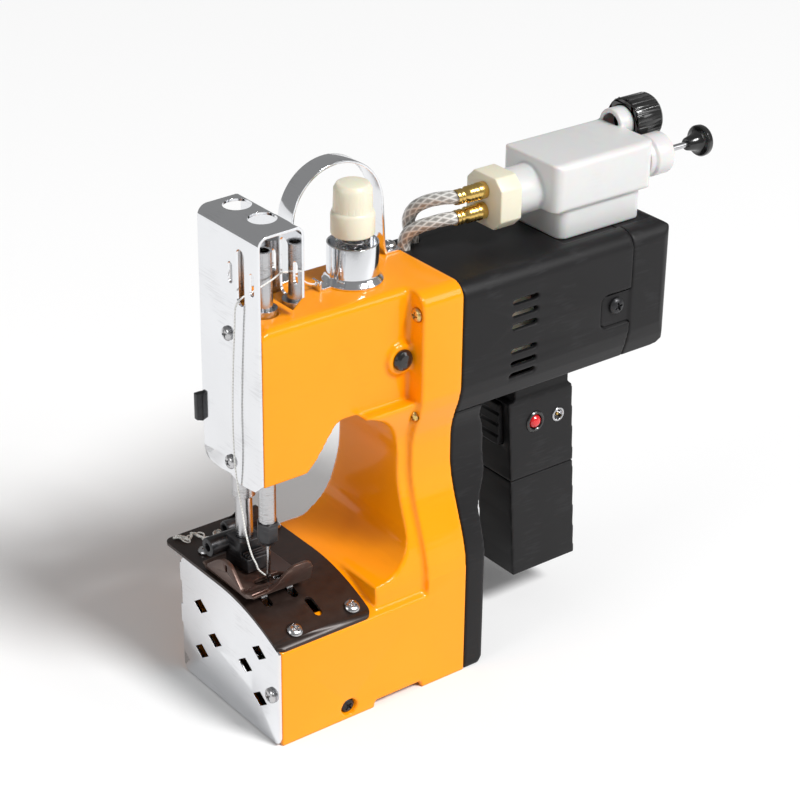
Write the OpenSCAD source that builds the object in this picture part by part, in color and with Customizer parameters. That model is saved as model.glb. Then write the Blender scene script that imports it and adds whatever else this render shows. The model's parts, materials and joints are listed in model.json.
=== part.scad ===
/* [Base] */
// Width of the base box
base_w = 80; // [76:1:96]
// Height of the base casting at its flat side
base_h = 62.5; // [60:0.5:78]
// How far the right side of the base roof drops
roof_drop = 12.8; // [8:0.2:15]
// Distance from the front cover to the needle axis
nose = 18; // [17:0.5:24]
// Thickness of the needle plate
plate_t = 1.5; // [1:0.1:2.5]
// Length of the needle plate
plate_len = 52.4; // [48:0.2:60]
// How far the needle plate overhangs the left side
plate_over = 15; // [5:1:20]

/* [Arm and column] */
// Width of the arm
arm_w = 45.6; // [44:0.2:52]
// Height of the arm at its front
arm_h = 75.5; // [72:0.5:90]
// Clear height from the base roof to the arm's front foot
throat_h = 62; // [58:0.5:75]
// Extra height of the throat behind the needle
throat_rise = 21.5; // [15:0.5:26]
// Needle axis to the front of the column
throat_depth = 60; // [56:1:74]
// Needle axis to the front face of the rear flange
flange_x = 66; // [62:1:80]
// Depth of the rear flange
flange_d = 23; // [21:0.5:28]
// Width of the rear flange and the motor housing
flange_w = 66; // [62:1:76]
// Width of the column at its waist
waist_w = 52; // [48:1:56]
// Wall of the casting
wall = 3.5; // [3:0.1:4.2]

/* [Needle and presser] */
// Diameter of the needle bar
needle_bar_d = 8; // [6.5:0.1:9]
// Diameter of the presser bar
presser_bar_d = 8; // [6.5:0.1:9]
// Needle bar, sideways from the middle
needle_y = -6; // [-7:0.5:-5]
// Presser bar, sideways from the middle
presser_y = 13; // [12:0.5:14]
// Diameter of the needle
needle_d = 2; // [1.6:0.1:2.4]
// Needle bar travel above rest
needle_up = 18; // [10:0.5:19]
// Needle bar travel below rest
needle_down = 12; // [8:0.5:13]
// Lift of the presser foot
foot_lift = 8; // [5:0.5:9]

/* [Drive] */
// Diameter of both drive shafts
shaft_d = 8; // [7:0.1:9]
// Outer diameter of the ball bearings
bearing_od = 19; // [17:0.5:22]
// Width of the ball bearings
bearing_w = 5; // [4:0.5:6]
// Teeth of the motor pulley
motor_teeth = 14; // [12:1:18]
// Teeth of the main shaft pulley
main_teeth = 42; // [36:1:46]
// Pitch of the belt teeth
belt_pitch = 2.5; // [2:0.1:3]
// Width of the belt
belt_w = 5; // [4:0.5:6]
// Throw of the connecting rod's eccentric
rod_throw = 3; // [2:0.2:3.6]

/* [Motor housing] */
// Length of the housing shell without its end cap
housing_len = 101.5; // [98:0.5:120]
// Length of the end cap
cap_len = 26.5; // [22:0.5:36]
// Wall of the plastic housings
skin = 2.8; // [2:0.1:3.4]
// Outer diameter of the stator
stator_d = 54; // [46:1:56]
// Bore of the stator
stator_bore = 34; // [28:1:38]

/* [Grip and battery] */
// Length of the grip, front to back
grip_l = 40; // [36:1:50]
// Width of the grip
grip_w = 26; // [24:1:34]
// Height of the grip case
grip_h = 43; // [40:1:56]
// Height of the battery pack
battery_h = 54.5; // [50:0.5:70]
// Backward lean of the grip, in millimetres per millimetre
grip_lean = 0.07; // [0:0.01:0.12]
// Diameter of a battery cell
cell_d = 18; // [14:0.5:18.5]

/* [Oil system] */
// Width of the oil bottle
bottle_w = 40; // [36:1:48]
// Length of the oil bottle
bottle_l = 61; // [54:1:72]
// Diameter of the bottle neck
neck_d = 23; // [18:0.5:24]
// Outer diameter of the hoses
hose_d = 6.2; // [5:0.1:6.6]
// Travel of the pump plunger
pump_stroke = 12; // [8:1:14]

/* [Thread tension] */
// Outer diameter of the tension cup
cup_d = 23.4; // [21:0.2:26]
// Height of the thumb nut
nut_h = 24; // [20:0.5:28]

/* [Clearances] */
// Radial clearance of running fits
run = 0.05; // [0.02:0.01:0.1]
// Gap between pieces that are fastened together
seat = 0.05; // [0.02:0.01:0.1]
// Gap between pieces that move past each other
gap = 0.5; // [0.3:0.1:0.8]

/* [Hidden] */
$fn = 48;

// Heights
arm_under = base_h + throat_h;
arm_top = arm_under + arm_h;
throat_top = arm_under + throat_rise;
housing_top = arm_top - 1.5;
housing_low = arm_top - 66.5;
motor_z = arm_top - 36;
lever_z = arm_top - 32.5;
shaft_z = 30;

// Stations along X
front_x = -nose;
sheet_t = 1.2;
casting_x = front_x + sheet_t;
face_x = front_x + 4;
arm_x = face_x + sheet_t;
rear_x = flange_x + flange_d;
cap_x = rear_x + housing_len;
end_x = cap_x + cap_len;
lever_x = flange_x - 5.5;
rod_arm = 14.3;
link_x = lever_x + rod_arm;
belt_x = rear_x + 4.4;
bulk_x = rear_x + 11;

// Widths and outlines
foot_z = base_h - 6.5;
waist_low = base_h + 49.5;
waist_high = arm_under - 2.5;
shoulder_z = housing_low + 16.5;
roof_y = 8;
base_wall = wall + 0.5;

// Pulleys
motor_pr = motor_teeth * belt_pitch / 360 * 180 / PI;
main_pr = main_teeth * belt_pitch / 360 * 180 / PI;
belt_t = 1.6;

// Needle line
bar_bottom = arm_under - 27.5;
bar_top = arm_top + 29;
needle_tip = base_h - 2.5;
nut_z = bar_bottom - 4;
pin_d = 5;

// Tension unit
tension_x = 51.5;
cup_z = arm_top + 4.2;
cup_h = 14.2;
nut_z0 = arm_top + 22;

// Grip
grip_x = 134.3 - 89 + rear_x;
grip_top = housing_low - 0.2;
grip_z = grip_top - 16;
pack_z = grip_z - grip_h;
pack_low = pack_z - battery_h;

// Oil system
bottle_x = rear_x + 63;
bottle_z = arm_top - 2.8;
bottle_step = bottle_z + 15;
bottle_top = bottle_step + 23.5;
neck_z = bottle_step + 7.8;
neck_len = 14;
manifold_l = 12.5;
manifold_x = bottle_x - neck_len;
barb_x = manifold_x - manifold_l;
barb_z = [neck_z + 5, neck_z - 5];
pump_y = -9;
pump_z = bottle_step + 11.3;
pump_r = 10.2;
pump_x = bottle_x + bottle_l;
pump_len = 15;
fill_y = 10;
fill_z = bottle_top - 1;

// Helpers
function arc(x, y, r, a0, a1, n = 8) =
    [for (i = [0:n]) let (a = a0 + (a1 - a0) * i / n) [x + r * cos(a), y + r * sin(a)]];
function ease(t) = let (u = min(1, max(0, t))) u * u * (3 - 2 * u);
function mix(a, b, t) = a + (b - a) * t;

// Half width of the column and flange at height z
function half_w(z) =
    z < waist_high
        ? mix(base_w / 2, waist_w / 2, ease((z - foot_z) / (waist_low - foot_z)))
        : mix(waist_w / 2, flange_w / 2, ease((z - waist_high) / (shoulder_z - waist_high)));

// Height of the base roof at y
function roof(y) =
    base_h - (y < roof_y ? roof_drop * pow((roof_y - y) / (roof_y + base_w / 2), 2) : 0);

module along_x(x0, x1) {
    translate([x0, 0, 0]) rotate([90, 0, 90]) linear_extrude(x1 - x0) children();
}

module along_y(y0, y1) {
    translate([0, y1, 0]) rotate([90, 0, 0]) linear_extrude(y1 - y0) children();
}

module block(a, b) {
    translate(a) cube(b - a);
}

module rod_x(d, x0, x1, y = 0, z = 0) {
    translate([x0, y, z]) rotate([0, 90, 0]) cylinder(d = d, h = x1 - x0);
}

module rod_y(d, y0, y1, x = 0, z = 0) {
    translate([x, y0, z]) rotate([-90, 0, 0]) cylinder(d = d, h = y1 - y0);
}

module rod_z(d, z0, z1, x = 0, y = 0) {
    translate([x, y, z0]) cylinder(d = d, h = z1 - z0);
}

module rounded(x0, y0, x1, y1, r) {
    polygon(concat(
        arc(x1 - r, y0 + r, r, -90, 0), arc(x1 - r, y1 - r, r, 0, 90),
        arc(x0 + r, y1 - r, r, 90, 180), arc(x0 + r, y0 + r, r, 180, 270)
    ));
}

// Slot with round ends, along the first axis
module slot(x0, x1, y, w) {
    rounded(x0, y - w / 2, x1, y + w / 2, w / 2 - 0.01);
}

// Outline of the column and flange between two heights, pulled in by inset
module column_outline(z0, z1, inset = 0, r = 8, steps = 30) {
    side = [for (i = [0:steps - 1]) let (z = mix(z0, z1 - r, i / steps)) [half_w(z) - inset, z]];
    top = arc(half_w(z1) - inset - r, z1 - r, r, 0, 90);
    right = concat(side, top);
    polygon(concat(right, [for (i = [len(right) - 1:-1:0]) [-right[i][0], right[i][1]]]));
}

// Cross-section of the base box
module base_outline(inset = 0, lift = 0) {
    half = base_w / 2 - inset;
    edge = half;
    polygon(concat(
        [[edge, lift], [edge, roof(edge) - inset - 2], [edge - 2, roof(edge) - inset]],
        [for (i = [0:16]) let (y = mix(roof_y, -edge, i / 16)) [y, roof(y) - inset]],
        [[-edge, lift]]
    ));
}

// Free space under the arm, seen from the side
module throat_outline(grow = 0) {
    z1 = throat_top + grow;
    low = arm_under + grow;
    polygon(concat(
        [[front_x - 30, base_h - grow - 1]],
        arc(throat_depth - 20, base_h + 20, 20 + grow, -90, 0),
        arc(throat_depth - 28, throat_top - 28, 28 + grow, 0, 90, 12),
        [for (i = [0:8]) let (t = 1 - i / 8)
            [mix(8.5, 30, t) - grow * 0.6, mix(low, z1, ease(t))]],
        [[front_x - 30, low]]
    ));
}

// Tube swept along points, with an eight-sided section
function unit(v) = v / norm(v);
function tangent(p, i) = unit(p[min(i + 1, len(p) - 1)] - p[max(i - 1, 0)]);
function side_of(t) = unit(cross(t, abs(t[2]) > 0.9 ? [0, 1, 0] : [0, 0, 1]));
module tube(p, d, sides = 8) {
    rings = [for (i = [0:len(p) - 1])
        let (t = tangent(p, i), u = side_of(t), v = cross(t, u))
        for (k = [0:sides - 1])
            p[i] + (u * cos(360 * k / sides) + v * sin(360 * k / sides)) * d / 2];
    n = len(p) - 1;
    walls = [for (i = [0:n - 1]) for (k = [0:sides - 1])
        let (a = i * sides + k, b = i * sides + (k + 1) % sides)
        [a, b, b + sides, a + sides]];
    polyhedron(rings, concat(
        walls,
        [[for (k = [sides - 1:-1:0]) k]],
        [[for (k = [0:sides - 1]) n * sides + k]]
    ));
}

// Helical spring around Z, from radius r0 at z0 to r1 at z1
module coil_spring(x, y, z0, z1, r0, r1, wire, turns) {
    n = turns * 12;
    tube([for (i = [0:n]) let (t = i / n)
        [x + mix(r0, r1, t) * cos(30 * i), y + mix(r0, r1, t) * sin(30 * i),
         mix(z0 + wire / 2, z1 - wire / 2, t)]], wire, 6);
}

module ring(d, bore, h) {
    difference() {
        cylinder(d = d, h = h);
        translate([0, 0, -1]) cylinder(d = bore, h = h + 2);
    }
}

// ---------------------------------------------------------------- casting

boss_y = arm_w / 2 + 2.4;
flange_screws_yz = [[28, arm_top - 11], [26.3, housing_low + 5.3]];
cover_screws_x = [48, 77];
side_screw = [21, 6.1];
web_x = 16;
web_t = 6;
looper_y = 22;
looper_z = 34;
looper_d = 7;
guide_z = 53;
guide_d = 6;

module arm_outline(inset = 0) {
    x0 = inset > 0 ? arm_x - 1 : arm_x;
    x1 = inset > 0 ? flange_x + wall + 1 : flange_x + 1;
    difference() {
        polygon([
            [x0, base_h], [x1, base_h], [x1, arm_top - inset],
            [arm_x + 5, arm_top - inset], [x0, arm_top - inset - 3]
        ]);
        throat_outline(inset);
    }
}

module arm_body() {
    intersection() {
        along_y(-arm_w / 2, arm_w / 2) arm_outline();
        along_x(arm_x - 1, flange_x + 1)
            rounded(-arm_w / 2, 0, arm_w / 2, arm_top, 4);
    }
}

module column_front() {
    intersection() {
        along_y(-base_w / 2, base_w / 2) difference() {
            polygon([[throat_depth - 22, 4], [flange_x + 1, 4], [flange_x + 1, waist_high + 24],
                [throat_depth - 22, waist_high + 24]]);
            throat_outline();
        }
        along_x(throat_depth - 22, flange_x + 1) column_outline(0, waist_high + 26, 3.2, 1);
    }
}

module frame_cavities() {
    // Arm
    along_y(-arm_w / 2 + wall, arm_w / 2 - wall) difference() {
        arm_outline(wall);
        translate([throat_depth - 4, 0]) square([60, throat_top]);
    }
    // Column and flange
    along_x(flange_x + wall, rear_x - wall)
        column_outline(base_h - 30, arm_top - wall - 1, wall + 1, 5);
    intersection() {
        along_y(-arm_w / 2 + wall, arm_w / 2 - wall)
            polygon([[throat_depth + wall, base_h - 30], [flange_x + wall + 1, base_h - 30],
                [flange_x + wall + 1, throat_top + 6], [throat_depth + wall, throat_top + 6]]);
        along_x(throat_depth, flange_x + wall + 1)
            column_outline(base_h - 32, throat_top + 8, wall + 3.2, 1);
    }
    // Base box, open at the front and underneath
    along_x(casting_x - 1, rear_x - wall) base_outline(base_wall, -1);
    // Mouth under the needle plate
    block([casting_x - 1, -base_w / 2 + 13, base_h - 30],
        [front_x + plate_len - 6, base_w / 2 - 10, base_h + 1]);
}

module frame_bosses() {
    // Web that carries the front bearing and the looper shaft
    block([web_x, -base_w / 2 + base_wall - 1, 19], [web_x + web_t, base_w / 2 - base_wall + 1, 44]);
    // Rear bearing
    rod_x(bearing_od + 7, rear_x - 8, rear_x - wall + 0.1, 0, shaft_z);
    // Feed guide pin
    rod_y(guide_d, looper_y + 0.5, base_w / 2 - base_wall + 0.5, 0, guide_z);
    // Face screw bosses, clear of both bars
    for (z = face_screws_z)
        block([arm_x, -3, z - 4.5], [needle_boss_x, 5, z + 4.5]);
    block([arm_x, -3, arm_top - wall - 1], [needle_boss_x, 5, arm_top - wall + 0.5]);
    // Flange screws
    intersection() {
        for (p = flange_screws_yz) for (s = [-1, 1])
            rod_x(10, flange_x + 1, rear_x, s * p[0], p[1]);
        along_x(flange_x, rear_x) column_outline(0, arm_top, 1);
    }
    // Bottom cover screws
    for (x = cover_screws_x) for (s = [-1, 1])
        translate([x - 4, s > 0 ? base_w / 2 - base_wall - 8 : -base_w / 2 + base_wall - 0.5, 5.05])
            cube([8, 8.5, 9]);
    // Side screws
    for (s = [-1, 1])
        translate([side_screw[0] - 5, s > 0 ? base_w / 2 - 9 : -base_w / 2 + 0.5, 0.5])
            cube([10, 8.5, 13]);
    // Front cover screw
    block([casting_x, -base_w / 2 + 1, 21], [casting_x + 9, -base_w / 2 + 11, 30]);
}

face_screws_z = [arm_top - 8.5, arm_under + 4.2];
needle_boss_x = -7.2;

// Tilt of the base roof at y, in degrees
function roof_tilt(y) = y < roof_y
    ? atan(2 * roof_drop * (roof_y - y) / pow(roof_y + base_w / 2, 2)) : 0;
plate_screws = [[-5, -33], [27, -32.5], [-8, 34], [30, 34]];

module frame_holes() {
    // Needle bar and presser bar bushes
    rod_z(needle_bar_d + 4 + 2 * seat, arm_under - 10, arm_top + 1, 0, needle_y);
    rod_z(presser_bar_d + 3 + 2 * seat, arm_under - 10, arm_under + 10, 0, presser_y);
    rod_z(presser_bar_d + 2 * run, arm_top - 20, arm_top + 1, 0, presser_y);
    // Lever pin
    rod_y(8 + 2 * seat, -boss_y - 1, boss_y + 1, lever_x, lever_z);
    // Lift lever
    rod_y(6 + 2 * run, 0, arm_w / 2 + 1, lift_x, lift_z);
    // Bearings and shafts
    rod_x(bearing_od + 2 * seat, web_x - 1, web_x + web_t + 1, 0, shaft_z);
    rod_x(bearing_od + 2 * seat, rear_x - bearing_w - 2, rear_x + 1, 0, shaft_z);
    rod_x(shaft_d + 3, rear_x - 20, rear_x, 0, shaft_z);
    rod_x(looper_d + 2 * run, web_x - 1, web_x + web_t + 1, looper_y, looper_z);
    // Flange screws, with their countersinks
    for (p = flange_screws_yz) for (s = [-1, 1]) {
        rod_x(4 + 2 * seat, flange_x - 1, rear_x + 1, s * p[0], p[1]);
        rod_x(6.6, flange_x - 1, flange_x + 1.6, s * p[0], p[1]);
    }
    // Face screws
    for (z = face_screws_z) rod_x(4 + 2 * seat, arm_x - 1, needle_boss_x + 1, 1, z);
    // Needle plate screws
    for (p = plate_screws)
        translate([p[0], p[1], roof(p[1])]) rotate([roof_tilt(p[1]), 0, 0])
            rod_z(4 + 2 * seat, -8, 2);
    // Front cover screws
    rod_x(4 + 2 * seat, casting_x - 1, casting_x + 9, -base_w / 2 + 6, 25.5);
    for (z = left_screws_z)
        rod_y(4 + 2 * seat, base_w / 2 - 9, base_w / 2 + 1, casting_x + 5, z);
    // Bottom cover screws
    for (x = cover_screws_x) for (s = [-1, 1])
        rod_z(4 + 2 * seat, 0, 13, x, s * (base_w / 2 - 8));
    // Side screws in their counterbores
    for (s = [-1, 1]) {
        y0 = s * (base_w / 2 - 3);
        rod_y(8.4, min(y0, s * (base_w / 2 + 1)), max(y0, s * (base_w / 2 + 1)),
            side_screw[0], side_screw[1]);
        rod_y(4 + 2 * seat, min(s * (base_w / 2 - 8.5), y0), max(s * (base_w / 2 - 8.5), y0),
            side_screw[0], side_screw[1]);
    }
    // Tension stud and arch screws
    rod_z(6 + 2 * seat, arm_top - 8, arm_top + 1, tension_x, 0);
    for (p = arch_screws) rod_z(4 + 2 * seat, arm_top - 7, arm_top + 1, p[0], p[1]);
    // Notch under the sides between the front and rear feet
    block([36, -base_w / 2 - 1, -1], [flange_x - 3, base_w / 2 + 1, 3.3]);
}

left_screws_z = [31, 54];
arch_screws = [[rear_x - 4, 18], [22, 18]];
lift_x = 8;
lift_z = arm_under + 20;

module main_frame() {
    color("orange") difference() {
        union() {
            difference() {
                union() {
                    along_x(casting_x, flange_x + 1) base_outline();
                    arm_body();
                    column_front();
                    along_x(flange_x, rear_x) column_outline(0, arm_top);
                    for (s = [-1, 1])
                        rod_y(15, s > 0 ? arm_w / 2 - 2 : -boss_y, s > 0 ? boss_y : -arm_w / 2 + 2,
                            lever_x, lever_z);
                }
                frame_cavities();
            }
            frame_bosses();
        }
        frame_holes();
        // Keep the bosses inside the roof and open the way for the belt side
        block([casting_x - 2, -base_w, -2], [rear_x, base_w, 0]);
    }
}

module bottom_cover() {
    half = base_w / 2 - base_wall - 0.3;
    color("dimgray") difference() {
        union() {
            block([casting_x + 4, -half, 3.4], [rear_x - wall - 0.3, half, 5]);
            block([casting_x + 4, -half, 0], [35, half, 3.5]);
        }
        for (x = cover_screws_x) for (s = [-1, 1])
            rod_z(4 + 2 * seat, 3, 7, x, s * (base_w / 2 - 8));
        for (s = [-1, 1])
            translate([side_screw[0] - 5.4, s > 0 ? half - 5.5 : -half - 1, -1]) cube([10.8, 6.5, 8]);
    }
}

// Diamond-shaped ventilation hole in the front cover
module diamond(y, z) {
    polygon([[y - 5.7, z], [y, z - 3.9], [y + 5.7, z], [y, z + 3.9]]);
}

module front_cover() {
    half = base_w / 2;
    color("silver") difference() {
        union() {
            along_x(front_x, casting_x - seat) intersection() {
                base_outline(0.02);
                rounded(-half, 0.3, half, base_h + 4, 4);
            }
            // Ears bent back along the left side
            for (z = left_screws_z)
                block([front_x, half + seat, z - 5], [casting_x + 10, half + seat + sheet_t, z + 5]);
            for (z = left_screws_z)
                block([front_x, half - 1, z - 5], [front_x + sheet_t - seat, half + seat + sheet_t, z + 5]);
        }
        along_x(front_x - 1, casting_x + 1) {
            for (s = [-1, 1]) {
                diamond(24 * s, 42.9);
                diamond(12.6 * s, 30.1);
                diamond(24.2 * s, 18);
            }
        }
        rod_x(4 + 2 * seat, front_x - 1, casting_x + 1, -half + 6, 25.5);
        for (z = left_screws_z)
            rod_y(4 + 2 * seat, half - 1, half + 3, casting_x + 5, z);
    }
}

module needle_plate() {
    half = base_w / 2 - 0.5;
    left = base_w / 2 + plate_over;
    color("saddlebrown") difference() {
        intersection() {
            along_x(front_x, front_x + plate_len) polygon(concat(
                [[left, base_h + seat]],
                [for (i = [0:16]) let (y = mix(roof_y, -half, i / 16)) [y, roof(y) + seat]],
                [for (i = [16:-1:0]) let (y = mix(roof_y, -half, i / 16)) [y, roof(y) + plate_t]],
                [[left, base_h + plate_t]]
            ));
            translate([0, 0, base_h - 30]) linear_extrude(60)
                rounded(front_x, -half, front_x + plate_len, left, 4);
        }
        // Needle hole and feed slots
        rod_z(3.4, base_h - 4, base_h + 5, 0, needle_y);
        for (s = [-1, 1])
            translate([s * 7, 0, base_h - 5]) rotate([0, 0, 90]) linear_extrude(10)
                slot(-18, 14, 0, 4.4);
        // Inspection slot on the entry side
        translate([11, 0, base_h - 15]) rotate([0, 0, 90]) linear_extrude(30) slot(-31, -20, 0, 4);
        for (p = plate_screws)
            translate([p[0], p[1], roof(p[1])]) rotate([roof_tilt(p[1]), 0, 0])
                rod_z(4 + 2 * seat, -4, 6);
    }
}

// Front plate outline of the face cover, seen from the front
module face_outline() {
    half = arm_w / 2;
    low = arm_under - 4.5;
    polygon(concat(
        [[-half, arm_top + 43], [-half, low + 6], [-half + 5, low + 1.5], [-6, low], [2, low + 2.4],
         [9.6, low + 1.6]],
        arc(half - 6, low + 8, 6, -80, 0, 6),
        [[half, arm_top + 43]]
    ));
}

module face_cover() {
    half = arm_w / 2;
    top = arm_top + 43;
    back = 9.5;
    color("gainsboro") difference() {
        intersection() {
            along_y(-half, half) difference() {
                polygon(concat(
                    [[face_x, arm_under - 6]],
                    [[face_x, top - 5]], arc(face_x + 5, top - 4.6, 5, 180, 95, 6),
                    arc(back - 4, top - 3.2, 4, 85, 0, 6),
                    [[back, arm_top + 2.5], [back - sheet_t, arm_top + 2.5]],
                    arc(back - 4, top - 3.2, 4 - sheet_t, 0, 85, 6),
                    arc(face_x + 5, top - 4.6, 5 - sheet_t, 95, 180, 6),
                    [[arm_x - seat, top - 5], [arm_x - seat, arm_under - 6]]
                ));
            }
            union() {
                along_x(face_x - 1, arm_x + 0.5) face_outline();
                block([arm_x, -half, arm_top + 0.5], [back + 1, half, top + 5]);
            }
        }
        // Cut-off corner of the rear plate
        along_x(0, back + 2)
            polygon([[-half - 1, arm_top], [-half + 9, arm_top], [-half - 1, arm_top + 12]]);
        // Holes over the bars
        for (y = [needle_y, presser_y]) rod_z(12.8, arm_top + 30, top + 6, 0, y);
        // Thread slots in the front and rear plates
        along_x(face_x - 1, back + 1) {
            rotate(90) slot(arm_top + 8, arm_top + 34, 9.5, 6);
            rotate(90) slot(arm_top + 15.5, arm_top + 26, 18, 3.4);
            rotate(90) slot(arm_top + 16, arm_top + 26, 1.8, 3.4);
        }
        for (z = face_screws_z) rod_x(4 + 2 * seat, face_x - 1, arm_x + 1, 1, z);
    }
}

// ---------------------------------------------------------------- housings

// Side profile of the cover behind the column
function cover_back(z) = rear_x + 11 + 8 * (ease((z - 80) / 20) - 0.4 * ease((z - 118) / 12));

module rear_cover_profile(inset = 0) {
    top = housing_low - 0.2;
    polygon(concat(
        [[rear_x + seat, 0], [rear_x + 9 - inset, 0], [rear_x + 11 - inset, 3]],
        [for (i = [0:20]) let (z = mix(20, top, i / 20)) [cover_back(z) - inset, z]],
        [[rear_x + seat, top]]
    ));
}

module rear_cover() {
    top = housing_low - 0.2;
    color([0.16, 0.16, 0.17]) difference() {
        intersection() {
            along_y(-base_w / 2, base_w / 2) rear_cover_profile();
            along_x(rear_x, rear_x + 22) column_outline(0, top, 0.1, 0.2);
        }
        intersection() {
            along_y(-base_w / 2, base_w / 2) translate([-1, 0]) rear_cover_profile(1);
            along_x(rear_x - 1, rear_x + 22) column_outline(skin, top + 1, skin, 0.2);
        }
    }
}

// Closed section of the motor housing
module housing_outline(inset = 0) {
    column_outline(housing_low + inset, housing_top - inset, inset, 8 - inset / 2, 8);
}

vent_x = rear_x + 28.5;
pocket = [cap_x - 18.5, motor_z + 6.5, motor_z - 10.5];
cap_screw = [cap_x - 9, motor_z];

module housing_bosses() {
    for (p = flange_screws_yz) for (s = [-1, 1]) intersection() {
        rod_x(10, rear_x + seat, rear_x + 12, s * p[0], p[1]);
        along_x(rear_x, rear_x + 13) housing_outline(0.5);
    }
    for (s = [-1, 1])
        rod_y(9, s > 0 ? flange_w / 2 - 9 : -flange_w / 2 + 2, s > 0 ? flange_w / 2 - 2 : -flange_w / 2 + 9,
            cap_screw[0], cap_screw[1]);
}

module motor_housing() {
    half = flange_w / 2;
    color([0.15, 0.15, 0.16]) difference() {
        union() {
            difference() {
                along_x(rear_x + seat, cap_x) housing_outline();
                along_x(rear_x - 1, cap_x + 1) housing_outline(skin);
            }
            // Bulkhead with the front bearing's seat
            along_x(bulk_x, bulk_x + 3) housing_outline(1);
            rod_x(bearing_od + 6, bulk_x, bulk_x + bearing_w + 1, 0, motor_z);
            // Cradle that the stator sits in
            difference() {
                along_x(vent_x + 18, vent_x + 30) housing_outline(1);
                rod_x(stator_d + 2 * seat, vent_x, vent_x + 60, 0, motor_z);
            }
            housing_bosses();
        }
        rod_x(bearing_od + 2 * seat, bulk_x + 1, bulk_x + 20, 0, motor_z);
        rod_x(shaft_d + 4, bulk_x - 5, bulk_x + 20, 0, motor_z);
        // Way for the belt down into the rear cover
        block([rear_x - 1, -main_pr - 6, housing_low - 2], [bulk_x - 1, main_pr + 6, housing_low + skin + 1]);
        // Vents
        for (s = [-1, 1]) for (z = [-19, -12.7, -6.4, 5.9, 12.2, 18.5])
            translate([0, s > 0 ? half - 6 : -half - 1, motor_z + z])
                along_y(0, 7) slot(vent_x, vent_x + 15.5, 0, 2.7);
        // Pockets for the end cap's tongues
        for (s = [-1, 1]) {
            translate([0, s > 0 ? half - 1.9 : -half - 1, 0]) along_y(0, 2.9)
                rounded(pocket[0], pocket[2], cap_x + 6, pocket[1], 4);
            rod_y(4 + 2 * seat, s > 0 ? half - 12 : -half, s > 0 ? half : -half + 12,
                cap_screw[0], cap_screw[1]);
        }
        // Screws from the flange
        for (p = flange_screws_yz) for (s = [-1, 1])
            rod_x(4 + 2 * seat, rear_x - 1, rear_x + 10, s * p[0], p[1]);
        // Shallow tray under the bottle
        block([bottle_x + 4, -bottle_w / 2 - 2, bottle_z - 0.1],
            [cap_x + 1, bottle_w / 2 + 2, housing_top + 1]);
        // Hose holes
        for (p = hose_holes) rod_z(hose_d + 0.6, housing_top - 8, housing_top + 1, p[0], p[1]);
        // Grip spigot
        block([grip_x + 6 - seat, -6 - seat, housing_low - 1],
            [grip_x + 26 + seat, 6 + seat, housing_low + skin + 0.5]);
    }
}

hose_holes = [[rear_x + 4, 17], [rear_x + 12.5, 21.5]];

module end_cap() {
    half = flange_w / 2;
    color([0.15, 0.15, 0.16]) difference() {
        union() {
            difference() {
                intersection() {
                    along_x(cap_x + seat, end_x) housing_outline();
                    translate([0, 0, housing_low - 5]) linear_extrude(90)
                        rounded(cap_x - 10, -half, end_x, half, 8);
                    along_y(-half, half) rounded(cap_x - 10, housing_low, end_x, housing_top, 7);
                }
                along_x(cap_x - 1, end_x - skin - 1) housing_outline(skin);
            }
            for (s = [-1, 1])
                translate([0, s > 0 ? half - 1.8 : -half + 0.8, 0]) along_y(0, 1)
                    rounded(pocket[0] + 0.3, pocket[2] + 0.3, cap_x + 6, pocket[1] - 0.3, 3.7);
            // Spider that carries the rear bearing
            rod_x(bearing_od + 6, cap_x + 6, end_x - skin - 0.5, 0, motor_z);
        }
        rod_x(bearing_od + 2 * seat, cap_x + 5, cap_x + 6 + bearing_w, 0, motor_z);
        rod_x(shaft_d + 4, cap_x + 5, cap_x + 14, 0, motor_z);
        for (s = [-1, 1])
            rod_y(4 + 2 * seat, s > 0 ? half - 3 : -half, s > 0 ? half : -half + 3,
                cap_screw[0], cap_screw[1]);
        block([cap_x - 1, -bottle_w / 2 - 2, bottle_z - 0.1],
            [bottle_x + 58, bottle_w / 2 + 2, housing_top + 1]);
    }
}

// Leaning outline of the grip between two heights
module grip_outline(z0, z1, inset = 0, front = 0) {
    x0 = grip_x + (grip_z - z0) * grip_lean + front;
    x1 = grip_x + (grip_z - z1) * grip_lean + front;
    polygon([[x0 + inset, z0], [x0 + grip_l - front - inset, z0],
        [x1 + grip_l - front - inset, z1], [x1 + inset, z1]]);
}

button_at = [grip_x + 17, grip_z - 14];
socket_at = [grip_x + 31.5, grip_z - 14.5];
trigger_z = [grip_z - 24, grip_z - 2];

module grip_case() {
    half = grip_w / 2;
    color([0.17, 0.17, 0.18]) difference() {
        union() {
            along_y(-half, half) grip_outline(pack_z, grip_z);
            // Neck under the motor housing
            along_y(-half + 1, half - 1) grip_outline(grip_z - 0.1, housing_low - seat, 1.5, 3);
            block([grip_x + 6, -6, housing_low - 1], [grip_x + 26, 6, housing_low + skin]);
        }
        // Inside
        along_y(-half + skin, half - skin) grip_outline(pack_z - 1, grip_z - 3, skin);
        block([grip_x + 9, -3, grip_z - 6], [grip_x + 23, 3, housing_low + skin + 1]);
        // Grooves between the finger rests
        for (z = [grip_z - 26])
            block([grip_x - 2, -half + 3, z - 0.6], [grip_x + 3.4, half - 3, z + 0.6]);
        // Trigger opening
        block([grip_x - 4, -7 - gap, trigger_z[0] - gap], [grip_x + 10, 7 + gap, trigger_z[1] + gap]);
        // Button and charging socket
        rod_y(7 + 2 * gap, -half - 1, 0, button_at[0], button_at[1]);
        rod_y(6 + 2 * seat, -half - 1, 0, socket_at[0], socket_at[1]);
    }
}

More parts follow.
